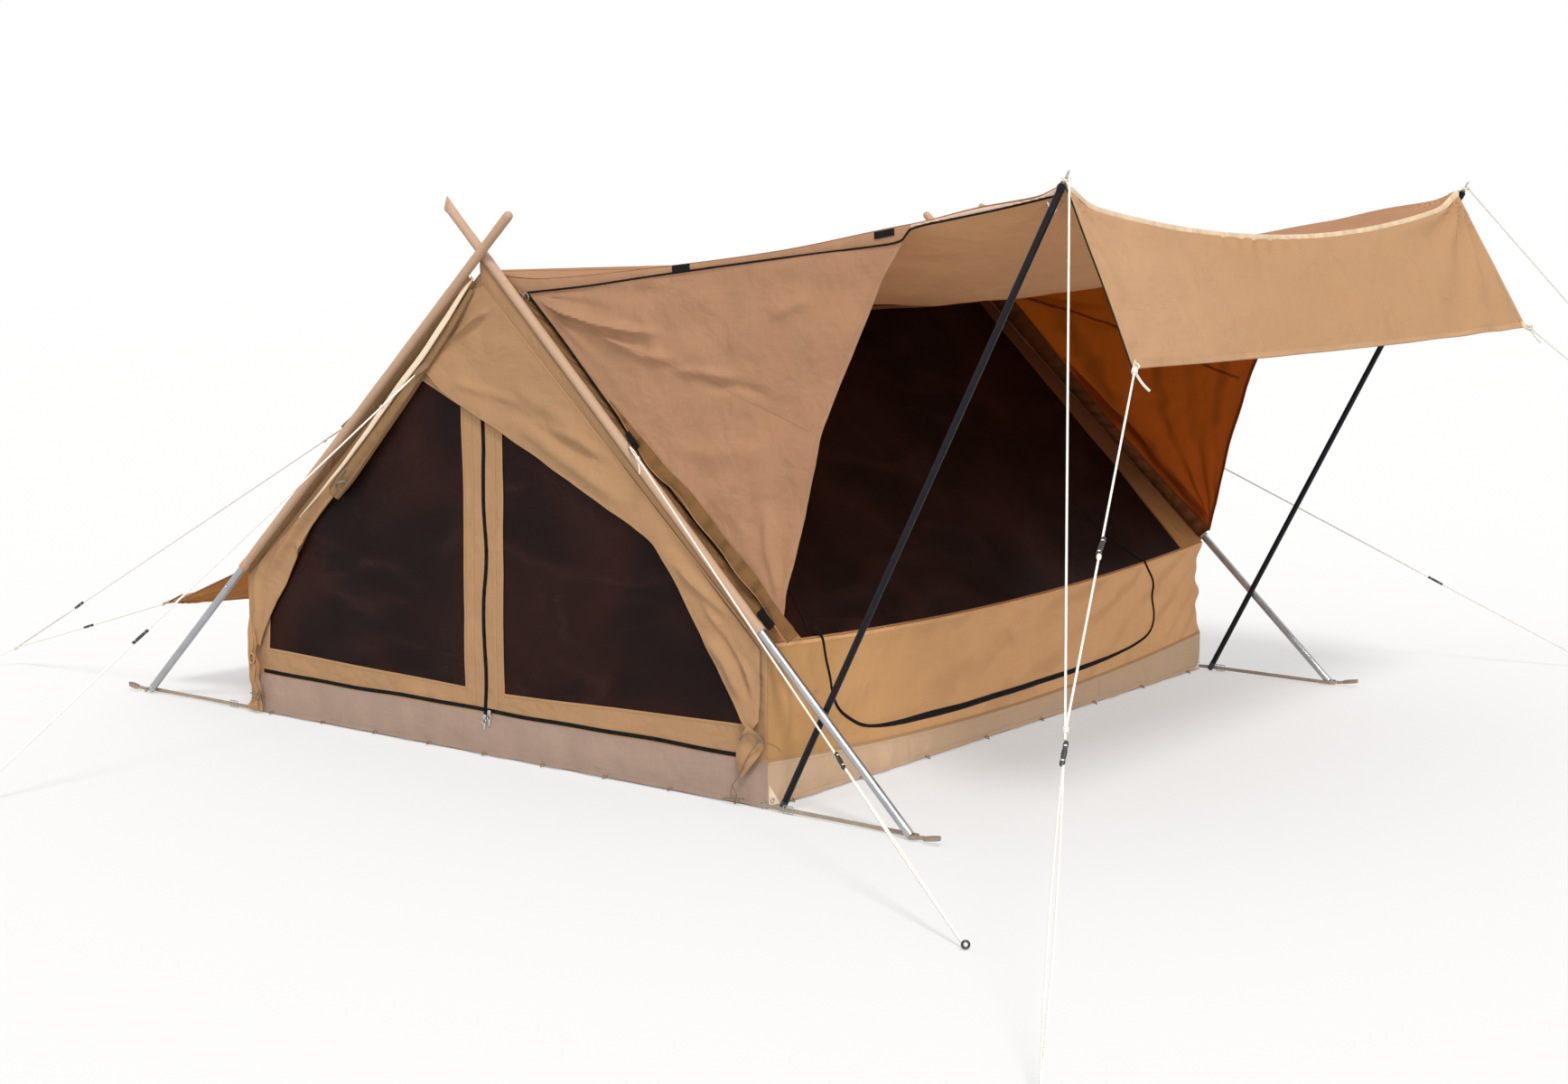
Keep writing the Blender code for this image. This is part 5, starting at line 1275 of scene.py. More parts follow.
# hanging edge bands with the black zip along their lower edge
BAND_LOW = ((0.10, 1.475), (0.191, 1.476), (0.433, 1.500), (0.612, 1.525), (0.820, 1.552), (1.085, 1.585), (1.276, 1.608), (1.461, 1.628), (1.572, 1.642), (1.592, 1.666), (1.608, 1.683),
            (1.752, 1.708), (1.921, 1.739), (2.041, 1.764), (2.060, 1.768))
for sx in (-1, 1):
    def band_point(a, b, sx=sx):
        z = edge_z(a) - 0.002
        low = np.interp(a, [p[0] for p in BAND_LOW], [p[1] for p in BAND_LOW])
        out = 0.0020 + 0.0035 * np.sin(np.pi * np.clip((z - b) / np.maximum(z - low, 1e-3), 0, 1)) + 0.0015 * np.sin(9 * a)
        return stack(sx * (FLY_X + (CORNER[0] - FLY_X) * a / CORNER[1] + out), -a, b)
    band = Cloth(band_point, (sx, 0, 0))
    ys = np.linspace(0.085, 2.055, 150)
    top = [(y, float(edge_z(y)) - 0.0025) for y in ys]
    low = [(y, min(float(np.interp(y, [p[0] for p in BAND_LOW], [p[1] for p in BAND_LOW])), float(edge_z(y)) - 0.009)) for y in ys[::-1]]
    cut = [k for k, (y, z) in enumerate(top) if y > 1.600][0]
    fly_trim.add(g_panel(band, [top[:cut + 1] + low[len(low) - 1 - cut:]], 0.010, 0.0010), M_SIDE)
    fly_trim.add(g_panel(band, [top[cut:] + low[:len(low) - cut]], 0.006, 0.0010), M_EDGE)
    zl = [p for p in BAND_LOW[1:]]
    zipper(fly_trim, band, rounded([(y, z + 0.001) for y, z in zl], 2), 0.0060, 0.0016, 0.0014, None, 0.012)
    for y0, y1, z0, z1 in ((0.770, 0.835, 1.571, 1.553), (1.487, 1.552, 1.675, 1.657)):
        zc = (z0 + z1) / 2
        s = (float(edge_z(y1)) - float(edge_z(y0))) / (y1 - y0)
        fly_trim.add(g_strip(band, [(y0, zc - s * (y1 - y0) / 2), (y1, zc + s * (y1 - y0) / 2)], 0.019, 0.0030, 0.0022, 0.01), M_PATCH)
# seams of the awning roof, from the ridge to the fold
for u0 in (0.335, 0.665):
    fly_trim.add(g_strip(Cloth(lambda a, b: awning_point(a / (2 * FLY_X), b / CORNER[1]), (0, 0, 1)), [(u0 * 2 * FLY_X, 0.02), (u0 * 2 * FLY_X, 2.05)], 0.012, 0.0010, 0.0010, 0.02), M_FLY)
fly_trim.add(g_strip(Cloth(lambda a, b: awning_point(a / (2 * FLY_X), b / CORNER[1]), (0, 0, 1)), [(0.02, 0.010), (2 * FLY_X - 0.02, 0.010)], 0.018, 0.0012, 0.0012, 0.02), M_FLY)
# webbing on the fold
xs = np.linspace(-1.0, 1.0, 140)
P0 = awning_point((xs + 1) / 2, np.ones(140))
P0[:, 1] -= 0.0035


def fold_point(a, b):
    u = np.clip(a, 0, 1)
    p = awning_point(u, np.ones(np.shape(u)))
    t = b / 0.012
    return stack(p[..., 0] * 1.004, p[..., 1] - 0.0042 - 0.0012 * np.cos(t), p[..., 2] + 0.0015 - b)


P, N = [], []
rows = []
for off_y, off_z in ((0.0045, 0.0026), (-0.0005, 0.0034), (-0.0058, 0.0016), (-0.0082, -0.0045), (-0.0092, -0.0145)):
    q = P0.copy()
    q[:, 1] += off_y
    q[:, 2] += off_z
    rows.append(q)
P = np.stack(rows, 1).reshape(-1, 3)
f = grid_faces(4, len(xs) - 1)
if (normals_of(P, [f]) @ np.array([0, -0.7, 0.7])).sum() < 0:
    f = f[:, ::-1]
s = np.concatenate([[0], np.cumsum(np.linalg.norm(np.diff(P0, axis=0), axis=1))])
fly_trim.add(close(P, [f], stack(np.tile(np.linspace(0, 0.014, 5), len(xs)), np.repeat(s, 5)), 0.0014), M_BRAID)
for sx in (-1, 1):
    fly_trim.add(g_ring((sx * (AWN_TOP[0] - 0.0005), -AWN_TOP[1] - 0.001, AWN_TOP[2] + 0.0030), (0, -0.5, 1), 0.0068, 0.0018), M_TAB)
    fly_trim.add(g_loft([((sx * 1.326, -2.062, 1.7900), (0, 1, 0), (0, 0, 1), 0.012, 0.0012), ((sx * 1.338, -2.072, 1.7970), (0, 1, 0), (0, 0, 1), 0.011, 0.0012),
                         ((sx * 1.350, -2.084, 1.8015), (0, 1, 0), (0, 0, 1), 0.008, 0.0012), ((sx * 1.3535, -2.088, 1.8015), (0, 1, 0), (0, 0, 1), 0.005, 0.0012)], 14), M_FLY)
    # a short white loop on the roof's edge, beside the pole
    fly_trim.add(g_tube(rounded([(sx * 1.334, -2.030, 1.752), (sx * 1.340, -2.040, 1.735), (sx * 1.342, -2.052, 1.722), (sx * 1.342, -2.062, 1.732), (sx * 1.338, -2.055, 1.752)], 2), 0.0018, 8), M_ROPE)
fly_trim = fly_trim.make()
sheet("awning_roof_cloth", g_grid(awning_point, 200, 160, (0, 0, 1), THICK, (2.665, 2.10)), M_FLY, "awning_roof",
      "canvas_fly", M_FLY_IN)


def drop_point(u, v):
    s = 2 * u - 1
    y = np.full(np.shape(u), CORNER[1])
    x = CORNER[0] * s
    top = stack(x, -y - 0.0045, awning_base(x, y) - 0.0005)
    low = stack(s * DROP[0], np.full(np.shape(u), -DROP[1]), DROP[2] - 0.010 * (1 - s * s))
    p = top * (1 - v)[..., None] + low * v[..., None]
    k = np.sin(np.pi * v)
    ends = 0.25 + 0.75 * smooth((1 - np.abs(s)) / 0.10)
    h = 0.012 * k * smooth((1.04 - np.abs(s)) / 0.16) + ends * (0.0085 * np.sin(np.pi * np.clip(v, 0, 1)) * w_tall(x * 0.5, v * 0.3) + smooth(v / 0.2) * (0.0045 * w_mid(x + 3, v * 0.4) + 0.0007 * AWN_FOLDS_F(x, v * 0.45)))
    # the cloth bunches a little below the webbing, left of the middle
    bunch = np.exp(-((v - 0.085) / 0.06) ** 2) * smooth((v - 0.02) / 0.03) * smooth((x + 0.62) / 0.15) * smooth((0.12 - x) / 0.15)
    h = h + bunch * (0.0070 * np.sin(62 * x + 18 * v) + 0.0034 * np.sin(101 * x - 25 * v + 1))
    for c in (-1, 1):
        r = np.hypot(x - c * CORNER[0], v * 0.45)
        q = np.arctan2(v * 0.45, np.abs(x - c * CORNER[0]) + 1e-6)
        rim = smooth((1 - np.abs(s)) / 0.03)
        h = h + rim * (0.0170 if c > 0 else 0.0080) * np.sin(q * 15 + 0.6) * smooth(r / 0.08) * np.exp(-r / (0.42 if c > 0 else 0.30))
        r2 = np.hypot(x - c * DROP[0], (1 - v) * 0.45)
        q2 = np.arctan2((1 - v) * 0.45, np.abs(x - c * DROP[0]) + 1e-6)
        h = h + rim * 0.0040 * np.sin(q2 * 13 + 0.2) * smooth(r2 / 0.06) * np.exp(-r2 / 0.22)
    h = h * smooth((v - 0.012) / 0.05) * (0.25 + 0.75 * smooth((1 - v) / 0.05))
    n = unit(np.array([0, -0.87, 0.49]))
    return p + h[..., None] * n


drop_cloth = Cloth(lambda a, b: drop_point(a / 2.72, b / 0.50), (0, -1, 0.3))
trim = Piece("awning_drop_trim")
for sx, a0 in ((-1, 0.0), (1, 2.72)):
    line = drop_point(np.full(60, a0 / 2.72), np.linspace(0.0, 1.0, 60))
    if sx < 0:
        trim.add(g_tube(line + np.array([sx * 0.0008, -0.0008, 0]), 0.0024, 8), M_PIPE)
    trim.add(g_strip(drop_cloth, [(a0 - sx * 0.012, 0.010), (a0 - sx * 0.012, 0.492)], 0.018, 0.0010, 0.0010, 0.012), M_DROP)
trim.add(g_strip(drop_cloth, [(0.01, 0.4885), (2.71, 0.4885)], 0.020, 0.0012, 0.0014, 0.016), M_DROP)
for sx in (-1, 1):
    c = np.array([sx * DROP[0], -DROP[1], DROP[2]])
    trim.add(g_loft([(c + (-sx * 0.030, 0.006, 0.012), (0, 0.3, 1), (0, -1, 0.3), 0.011, 0.0018), (c + (-sx * 0.006, -0.001, 0.002), (0, 0.3, 1), (0, -1, 0.3), 0.011, 0.0020),
                     (c + (sx * 0.010, -0.008, -0.004), (0, 0.3, 1), (0, -1, 0.3), 0.008, 0.0018)], 14), M_BRAID)
trim = trim.make()
sheet("awning_drop_cloth", g_grid(drop_point, 260, 44, (0, -1, 0.3), THICK, (2.72, 0.50)), M_DROP, "awning_drop_panel", "canvas_fly")


def back_point(u, v):
    turn = 0.70
    a, b, c = np.array([0.0006, FLY_RIDGE_Z]), np.array([WALL_Y + 0.010, EAVE_Z + 0.012]), np.array([BACK_HEM[1], BACK_HEM[2]])
    k = 0.06
    t1, t2 = np.clip(v / turn, 0, 1)[..., None], np.clip((v - turn) / (1 - turn), 0, 1)[..., None]
    p = a * (1 - t1) + b * t1 + (c - b) * t2
    x = FLY_X * (2 * u - 1)
    s = 2 * u - 1
    fade = smooth((1 - np.abs(s)) / 0.06) * smooth(v / 0.05)
    h = 0.0025 + fade * (0.0040 + 0.0045 * AWN_FOLDS_U(x + 5, v * 1.9) + 0.0030 * w_broad(x, v * 1.5) + 0.0009 * AWN_FOLDS_F(x, v * 1.9))
    for sx in (-1, 1):
        r = np.hypot(x - sx * FLY_X, (1 - v) * 1.95)
        q = np.arctan2((1 - v) * 1.95, np.abs(x - sx * FLY_X) + 1e-6)
        h = h + 0.014 * np.sin(q * 15 + 0.8) * smooth(r / 0.09) * np.exp(-r / 0.34)
    n = np.array([SLOPE * COS_S, COS_S])
    droop = HEM_DROOP * (1 - s * s) * t2[..., 0] ** 2
    return stack(x, p[..., 0] + h * n[0], p[..., 1] + h * n[1] - droop)


back_cloth = Cloth(lambda a, b: back_point(a / 2.67, b / 2.05), (0, 0.7, 0.7))
trim = Piece("fly_back_trim")
for sx, a0 in ((-1, 0.0), (1, 2.67)):
    trim.add(g_strip(back_cloth, [(a0 - sx * 0.011, 0.01), (a0 - sx * 0.011, 2.04)], 0.020, 0.0012, 0.0014, 0.016), M_FLY)
trim.add(g_strip(back_cloth, [(0.01, 2.038), (2.66, 2.038)], 0.020, 0.0012, 0.0014, 0.016), M_FLY)
for a0 in (0.335 * 2.67, 0.665 * 2.67):
    trim.add(g_strip(back_cloth, [(a0, 0.015), (a0, 2.03)], 0.012, 0.0010, 0.0010, 0.02), M_FLY)
for sx in (-1, 1):
    c = np.array([sx * BACK_HEM[0], BACK_HEM[1], BACK_HEM[2] + 0.001])
    trim.add(g_loft([(c + (-sx * 0.036, -0.050, 0.034), (1, 0, 0), (0, 0.4, 1), 0.014, 0.0022), (c + (-sx * 0.004, -0.004, 0.004), (1, 0, 0), (0, 0.4, 1), 0.012, 0.0022),
                     (c + (sx * 0.006, 0.010, -0.001), (1, 0, 0), (0, 0.4, 1), 0.009, 0.0020)], 14), M_TAB)
    # webbing tab at the middle of the side edge, where the third rope ties
    trim.add(g_loft([((sx * 1.340, 0.560, 1.068), (0, 0.5, 0.86), (sx, 0, 0), 0.011, 0.0016), ((sx * 1.344, 0.600, 1.042), (0, 0.5, 0.86), (sx, 0, 0), 0.011, 0.0018),
                     ((sx * 1.346, 0.645, 1.012), (0, 0.5, 0.86), (sx, 0, 0), 0.009, 0.0016)], 14), M_TAB)
trim = trim.make()
sheet("fly_back_cloth", g_grid(back_point, 170, 140, (0, 0.7, 0.7), THICK, (2.67, 2.05)), M_FLY, "fly_back", "canvas_fly", M_BACK_IN)

# ------------------------------------------------------------------ awning side walls
SIDE_TOP = [(0.191, 1.474), (0.433, 1.500), (0.612, 1.525), (0.820, 1.552), (1.085, 1.585), (1.276, 1.608), (1.461, 1.628), (1.578, 1.642)]
SIDE_RIGHT = [(1.570, 1.632), (1.529, 1.565), (1.494, 1.483), (1.425, 1.351), (1.365, 1.236), (1.309, 1.106), (1.288, 1.015), (1.253, 0.897), (1.222, 0.765),
              (1.193, 0.657), (1.172, 0.548)]
SIDE_ZIP = [(1.168, 0.540), (1.020, 0.668), (0.885, 0.789), (0.748, 0.913), (0.608, 1.052), (0.465, 1.200), (0.321, 1.347), (0.191, 1.470)]
SIDE_FOLDS = [([(0.210, 1.465), (0.322, 1.426), (0.431, 1.397), (0.611, 1.375), (0.75, 1.368)], 0.0190, 0.014), ([(0.225, 1.440), (0.340, 1.398), (0.480, 1.366), (0.600, 1.352)], -0.0110, 0.014),
              ([(0.417, 1.402), (0.540, 1.345), (0.656, 1.302), (0.818, 1.290)], 0.0125, 0.016), ([(1.118, 1.430), (1.200, 1.458), (1.277, 1.485)], 0.0080, 0.018),
              ([(1.020, 1.246), (0.880, 1.262), (0.750, 1.261)], 0.0090, 0.015), ([(1.371, 1.312), (1.470, 1.460), (1.580, 1.627)], 0.0095, 0.019),
              ([(1.150, 1.201), (1.000, 1.225), (0.852, 1.218)], -0.0070, 0.017), ([(0.700, 1.050), (0.900, 1.020), (1.150, 1.060)], 0.0050, 0.030),
              ([(0.900, 0.860), (1.000, 0.960), (1.080, 1.080)], 0.0060, 0.026), ([(1.170, 0.600), (1.120, 0.760), (1.110, 0.920)], 0.0070, 0.020),
              ([(0.620, 1.480), (0.680, 1.380), (0.720, 1.240)], 0.0040, 0.026), ([(1.05, 1.53), (1.02, 1.40), (0.96, 1.30)], 0.0045, 0.026)]
side_waves = waves(41, 10, 0.14, 0.38, 1.0)
side_fine = waves(43, 12, 0.04, 0.12, 1.0, sharp=0.4)
for label, sx in (("left", -1), ("right", 1)):
    def side_point(a, b, sx=sx):
        d, _ = along(SIDE_ZIP, a, b)
        fade = smooth(d / 0.10) * smooth((hermite(AWN_EDGE, a) - 0.03 - b) / 0.08)
        h = fade * (0.0042 * side_waves(a, b) + 0.0035 * w_broad(a + 2, b) + 0.0009 * side_fine(a, b)) + smooth(d / 0.03) * 1.3 * folds(a, b, SIDE_FOLDS)
        r, q = np.hypot(a - 0.186, 1.476 - b), np.arctan2(1.476 - b, a - 0.186 + 1e-6)
        h = h + smooth(d / 0.03) * 0.0042 * np.sin(q * 34 + 0.5 * np.sin(r * 9)) * smooth((r - 0.03) / 0.10) * np.exp(-r / 0.30)
        r2, q2 = np.hypot(1.172 - a, b - 0.548), np.arctan2(b - 0.548, 1.172 - a + 1e-6)
        h = h + smooth(d / 0.03) * (0.0100 if sx > 0 else 0.0030) * np.sin(q2 * 19 + 0.8 * np.sin(r2 * 6)) * smooth((r2 - 0.04) / 0.14) * np.exp(-r2 / 0.55)
        return stack(sx * (FLY_X - 0.0005 + h), -a, b)
    side = Cloth(side_point, (sx, 0, 0))
    trim = Piece(f"awning_side_trim_{label}")
    zipper(trim, side, rounded(SIDE_ZIP, 1), 0.0085, 0.0018, 0.0018, None, 0.012)
    trim.add(g_strip(side, rounded(SIDE_RIGHT, 1) + np.array([-0.007, 0.0]), 0.012, 0.0012, 0.0012, 0.012), M_SIDE)
    trim.add(g_strip(side, [(0.30, 1.405), (0.71, 1.30), (1.27, 1.115)], 0.008, 0.0010, 0.0010, 0.014), M_SIDE)
    # strip between the sleeve and the zip, dark with painted shade
    past = PASS_IN if sx < 0 else PASS_OUT
    zip_y = np.array([p[0] for p in SIDE_ZIP[::-1]])
    zip_z = np.array([p[1] for p in SIDE_ZIP[::-1]])
    rows, n = [], 180
    t = np.linspace(0, 1, n)
    y = 0.085 + (1.118 - 0.085) * t
    up = (FOOT_Y - y) / (FOOT_Y + past[1])
    if sx < 0:
        sleeve_line = stack(sx * (FOOT_X + (past[0] - FOOT_X) * up - 0.0085), -y, past[2] * up + 0.006)
    else:                # seen from inside, this strip hides the sleeve
        sleeve_line = stack(np.full(n, HALF_L - 0.003), -y, RIDGE_Z - SLOPE * y + 0.005)
    zl = stack(np.full(n, sx * (FLY_X - 0.001)), -np.interp(t, np.linspace(0, 1, len(zip_y)), zip_y), np.interp(t, np.linspace(0, 1, len(zip_y)), zip_z))
    for q in np.linspace(0, 1, 8):
        r = sleeve_line * (1 - q) + zl * q
        r[:, 0] -= sx * math.sin(math.pi * q) * (0.010 + 0.0030 * np.sin(t * 150 + 2 * q) + 0.0016 * np.sin(t * 263 - 3 * q) + 0.0022 * np.sin(t * 61 + 1.3))
        rows.append(r)
    P = np.stack(rows, 1).reshape(-1, 3)
    f = grid_faces(7, n - 1)
    if (normals_of(P, [f]) @ np.array([sx, -0.5, 0.5])).sum() < 0:
        f = f[:, ::-1]
    trim.add(close(P, [f], stack(np.tile(np.linspace(0, 0.06, 8), n), np.repeat(t * 1.4, 8)), 0.0012), M_STRIP if sx < 0 else M_STRIP_FAR)
    # storm flap: sewn beside the zip, its free edge waving towards the sleeve, coloured with the strip's painted shade
    FREE = [(0.520, 1.160), (0.559, 1.122), (0.605, 1.064), (0.624, 1.039), (0.714, 0.950), (0.798, 0.896), (0.842, 0.856), (0.942, 0.754), (1.054, 0.657), (1.128, 0.575),
            (1.187, 0.520), (1.205, 0.500)]
    if sx > 0:
        FREE = FREE[:-2]
    free = resample(rounded(FREE, 2), 0.012)
    s = np.concatenate([[0], np.cumsum(np.linalg.norm(np.diff(free, axis=0), axis=1))])
    k = s / s[-1]
    n = len(free)
    d = unit(np.gradient(free, axis=0))
    perp = stack(d[:, 1], -d[:, 0]) * -1
    grow = smooth(k / 0.25)
    rows = []
    for q in np.linspace(0, 1, 7):
        base = free + perp * (0.034 * (1 - q) * (0.10 + 0.90 * grow))[:, None]
        out = 0.0022 + q * (0.003 + 0.010 * grow + 0.007 * grow * np.sin(k * 27 + 0.6) * q) + 0.003 * grow * math.sin(math.pi * q)
        rows.append(stack(sx * (FLY_X + out), -base[:, 0], base[:, 1]))
    P = np.stack(rows, 1).reshape(-1, 3)
    f = grid_faces(6, n - 1)
    if (normals_of(P, [f]) @ np.array([sx, 0, 0])).sum() < 0:
        f = f[:, ::-1]
    trim.add(close(P, [f], stack(np.tile(np.linspace(0, 0.04, 7), n), np.repeat(s, 7)), 0.0014), M_STRIP if sx < 0 else M_STRIP_FAR)
    trim.add(g_tube(rows[-1] + np.array([sx * 0.0003, 0, 0]), 0.0014, 6), M_SIDE)
    # ring where the zips meet, and the two dark patches beside the sleeve
    trim.add(g_ring((sx * (FLY_X + 0.006), -0.186, 1.462), (1, 0.2, 0.1), 0.0105, 0.0022, oval=1.2), M_STEEL)
    trim.add(g_loft([((sx * 1.352, -0.170, 1.482), (0, 0.7, 0.7), (sx, 0, 0), 0.007, 0.0015), ((sx * 1.346, -0.184, 1.468), (0, 0.7, 0.7), (sx, 0, 0), 0.007, 0.0015)], 12), M_BRAID)
    for y0, z0, y1, z1, w in ((0.604, 1.070, 0.646, 1.028, 0.020), (1.104, 0.585, 1.150, 0.540, 0.030)):
        x = FLY_X + 0.020
        dd = unit(np.array([0, -(y1 - y0), z1 - z0]))
        ss = np.cross(dd, (sx, 0, 0))
        trim.add(g_loft([((sx * x, -y0, z0), ss, (sx, 0, 0), w / 2, 0.0016), ((sx * x, -y1, z1), ss, (sx, 0, 0), w / 2, 0.0016)], 16, square=0.35), M_PATCH)
    trim = trim.make()
    loop = SIDE_TOP + SIDE_RIGHT + SIDE_ZIP[:-1]
    sheet(f"awning_side_cloth_{label}", g_panel(side, [loop], 0.0080), M_SIDE, f"awning_side_{label}", "canvas_tan", M_SIDE_IN)

# ------------------------------------------------------------------ webbing straps at the pole feet
for label, sx in (("left", -1), ("right", 1)):
    for where, sy in (("front", -1), ("back", 1)):
        hug = TUBE_R + 0.0035
        cx, cy = FOOT_X, FOOT_Y - 0.004
        path = [(1.3535, 1.100), (1.3540, 1.128), (1.3600, 1.160), (1.3590, 1.300), (1.3585, 1.480), (cx - hug, cy - 0.04)]
        path += [(cx - hug * math.cos(t), cy + hug * math.sin(t)) for t in (math.pi / 12 * k for k in range(0, 14))]
        tail_c = (cx + 0.012, cy + hug + 0.054)
        tail = [(cx + 0.002, cy + hug + 0.003), (cx + 0.001, cy + hug + 0.024)]
        tail += [(tail_c[0] - 0.011 * math.sin(t), tail_c[1] - 0.028 * math.cos(t)) for t in (0.30 + (2 * math.pi - 0.62) * k / 20 for k in range(21))]
        strap = Piece(f"strap_webbing_{where}_{label}")
        for line, thick, z0, z1 in ((path, 0.0020, 0.0050, 0.0175), (tail, 0.0018, 0.0055, 0.0175)):
            line = resample(rounded(line, 1), 0.012)
            d = unit(np.gradient(line, axis=0))
            n2 = stack(-d[:, 1], d[:, 0])
            s = np.concatenate([[0], np.cumsum(np.linalg.norm(np.diff(line, axis=0), axis=1))])
            rows = []
            for q in np.linspace(0, 1, 5):
                tw = 0.0012 * np.sin(s * 14) * (q - 0.5)
                rise = 0.16 * np.maximum(0.0, line[:, 1] - (cy + hug + 0.012)) if line[0][1] > cy else 0.0
                rows.append(stack(sx * (line[:, 0] + n2[:, 0] * (thick / 2 + tw)), sy * (line[:, 1] + n2[:, 1] * (thick / 2 + tw)), z0 + (z1 - z0) * q + 0.0006 * np.sin(s * 9) + rise))
            P = np.stack(rows, 1).reshape(-1, 3)
            f = grid_faces(4, len(line) - 1)
            N = np.repeat(stack(sx * n2[:, 0], sy * n2[:, 1], 0 * n2[:, 0]), 5, 0)
            if (normals_of(P, [f]) * N).sum() < 0:
                f = f[:, ::-1]
            strap.add(close(P, [f], stack(np.tile(np.linspace(0, 0.018, 5), len(line)), np.repeat(s, 5)), thick, N), M_STRAP)
        # ladder buckle near the tent's corner
        b0 = np.array([sx * 1.3600, sy * 1.215, 0.0128])
        for dz in (-0.0112, 0.0112):
            strap.add(g_lathe(b0 + (0, -0.017, dz), (0, 1, 0), [(0, 0.0016, 0.0016), (0.034, 0.0016, 0.0016)], 12), M_STEEL)
        for dy in (-0.017, 0.0, 0.017):
            strap.add(g_lathe(b0 + (sx * 0.0022, dy, -0.0118), (0, 0, 1), [(0, 0.0016, 0.0016), (0.0236, 0.0016, 0.0016)], 12), M_STEEL)
        strap.add(g_ring((sx * 1.3555, sy * 1.116, 0.012), (sx, 0, 0), 0.0105, 0.0018, oval=1.0), M_STEEL)
        strap.make(f"strap_{where}_{label}", slot="webbing_brown")


# ------------------------------------------------------------------ guy ropes
def runner(piece, a, b, t0, t1):
    """A flat three-hole slide that the rope passes through."""
    a, b = np.array(a), np.array(b)
    w = unit(b - a)
    side = unit(np.cross(w, (0, 0, 1.0)) if abs(w[2]) < 0.9 else np.cross(w, (0, 1.0, 0)))
    up = np.cross(side, w)
    L = min(0.062, np.linalg.norm(b - a) * (t1 - t0))
    c = a + (b - a) * (t0 + t1) / 2
    tilt = unit(w + 0.10 * side)
    st = []
    for q, k in ((-0.5, 0.55), (-0.46, 0.85), (-0.36, 1.0), (-0.22, 0.82), (-0.08, 1.0), (0.08, 1.0), (0.22, 0.82), (0.36, 1.0), (0.46, 0.85), (0.5, 0.55)):
        st.append((c + tilt * (L * q), side, up, 0.0064 * k, 0.0046 * (0.7 + 0.3 * k)))
    piece.add(g_loft(st, 18, square=0.7), M_PLASTIC)
    for q in (-0.3, 0.3):
        p = c + tilt * (L * q)
        piece.add(g_tube(rounded([p - side * 0.002 - up * 0.0045, p - side * 0.0050, p + up * 0.0055, p + side * 0.0050, p + side * 0.002 - up * 0.0045], 2), 0.0020, 8), M_ROPE)


def knot_at(piece, p, w, size):
    """A wrapped knot: three turns round the rope."""
    p, w = np.array(p), unit(w)
    for k in (-1, 0, 1):
        piece.add(g_ring(p + w * k * size * 0.62, w + np.array([0.12 * k, 0.08, 0.1]), size * 0.55, size * 0.36, 18, 8), M_ROPE)
    piece.add(g_ball(p, size * 0.62), M_ROPE)


def line_rope(piece, a, b, radius=0.0029, twin=0.0):
    a, b = np.array(a, float), np.array(b, float)
    n = 14
    t = np.linspace(0, 1, n)[:, None]
    w = unit(b - a)
    side = unit(np.cross(w, (0, 0, 1.0)))
    for s in ((-1, 1) if twin else (0,)):
        piece.add(g_tube(a + (b - a) * t + side * s * twin * np.sin(np.pi * t) * 0.9, radius * (0.82 if twin else 1.0), 10), M_ROPE)


def on_line(a, b, t):
    return tuple(p + (q - p) * t for p, q in zip(a, b))


def beyond(a, b, d):
    h = math.hypot(b[0] - a[0], b[1] - a[1])
    return (b[0] + (b[0] - a[0]) * d / h, b[1] + (b[1] - a[1]) * d / h, b[2])


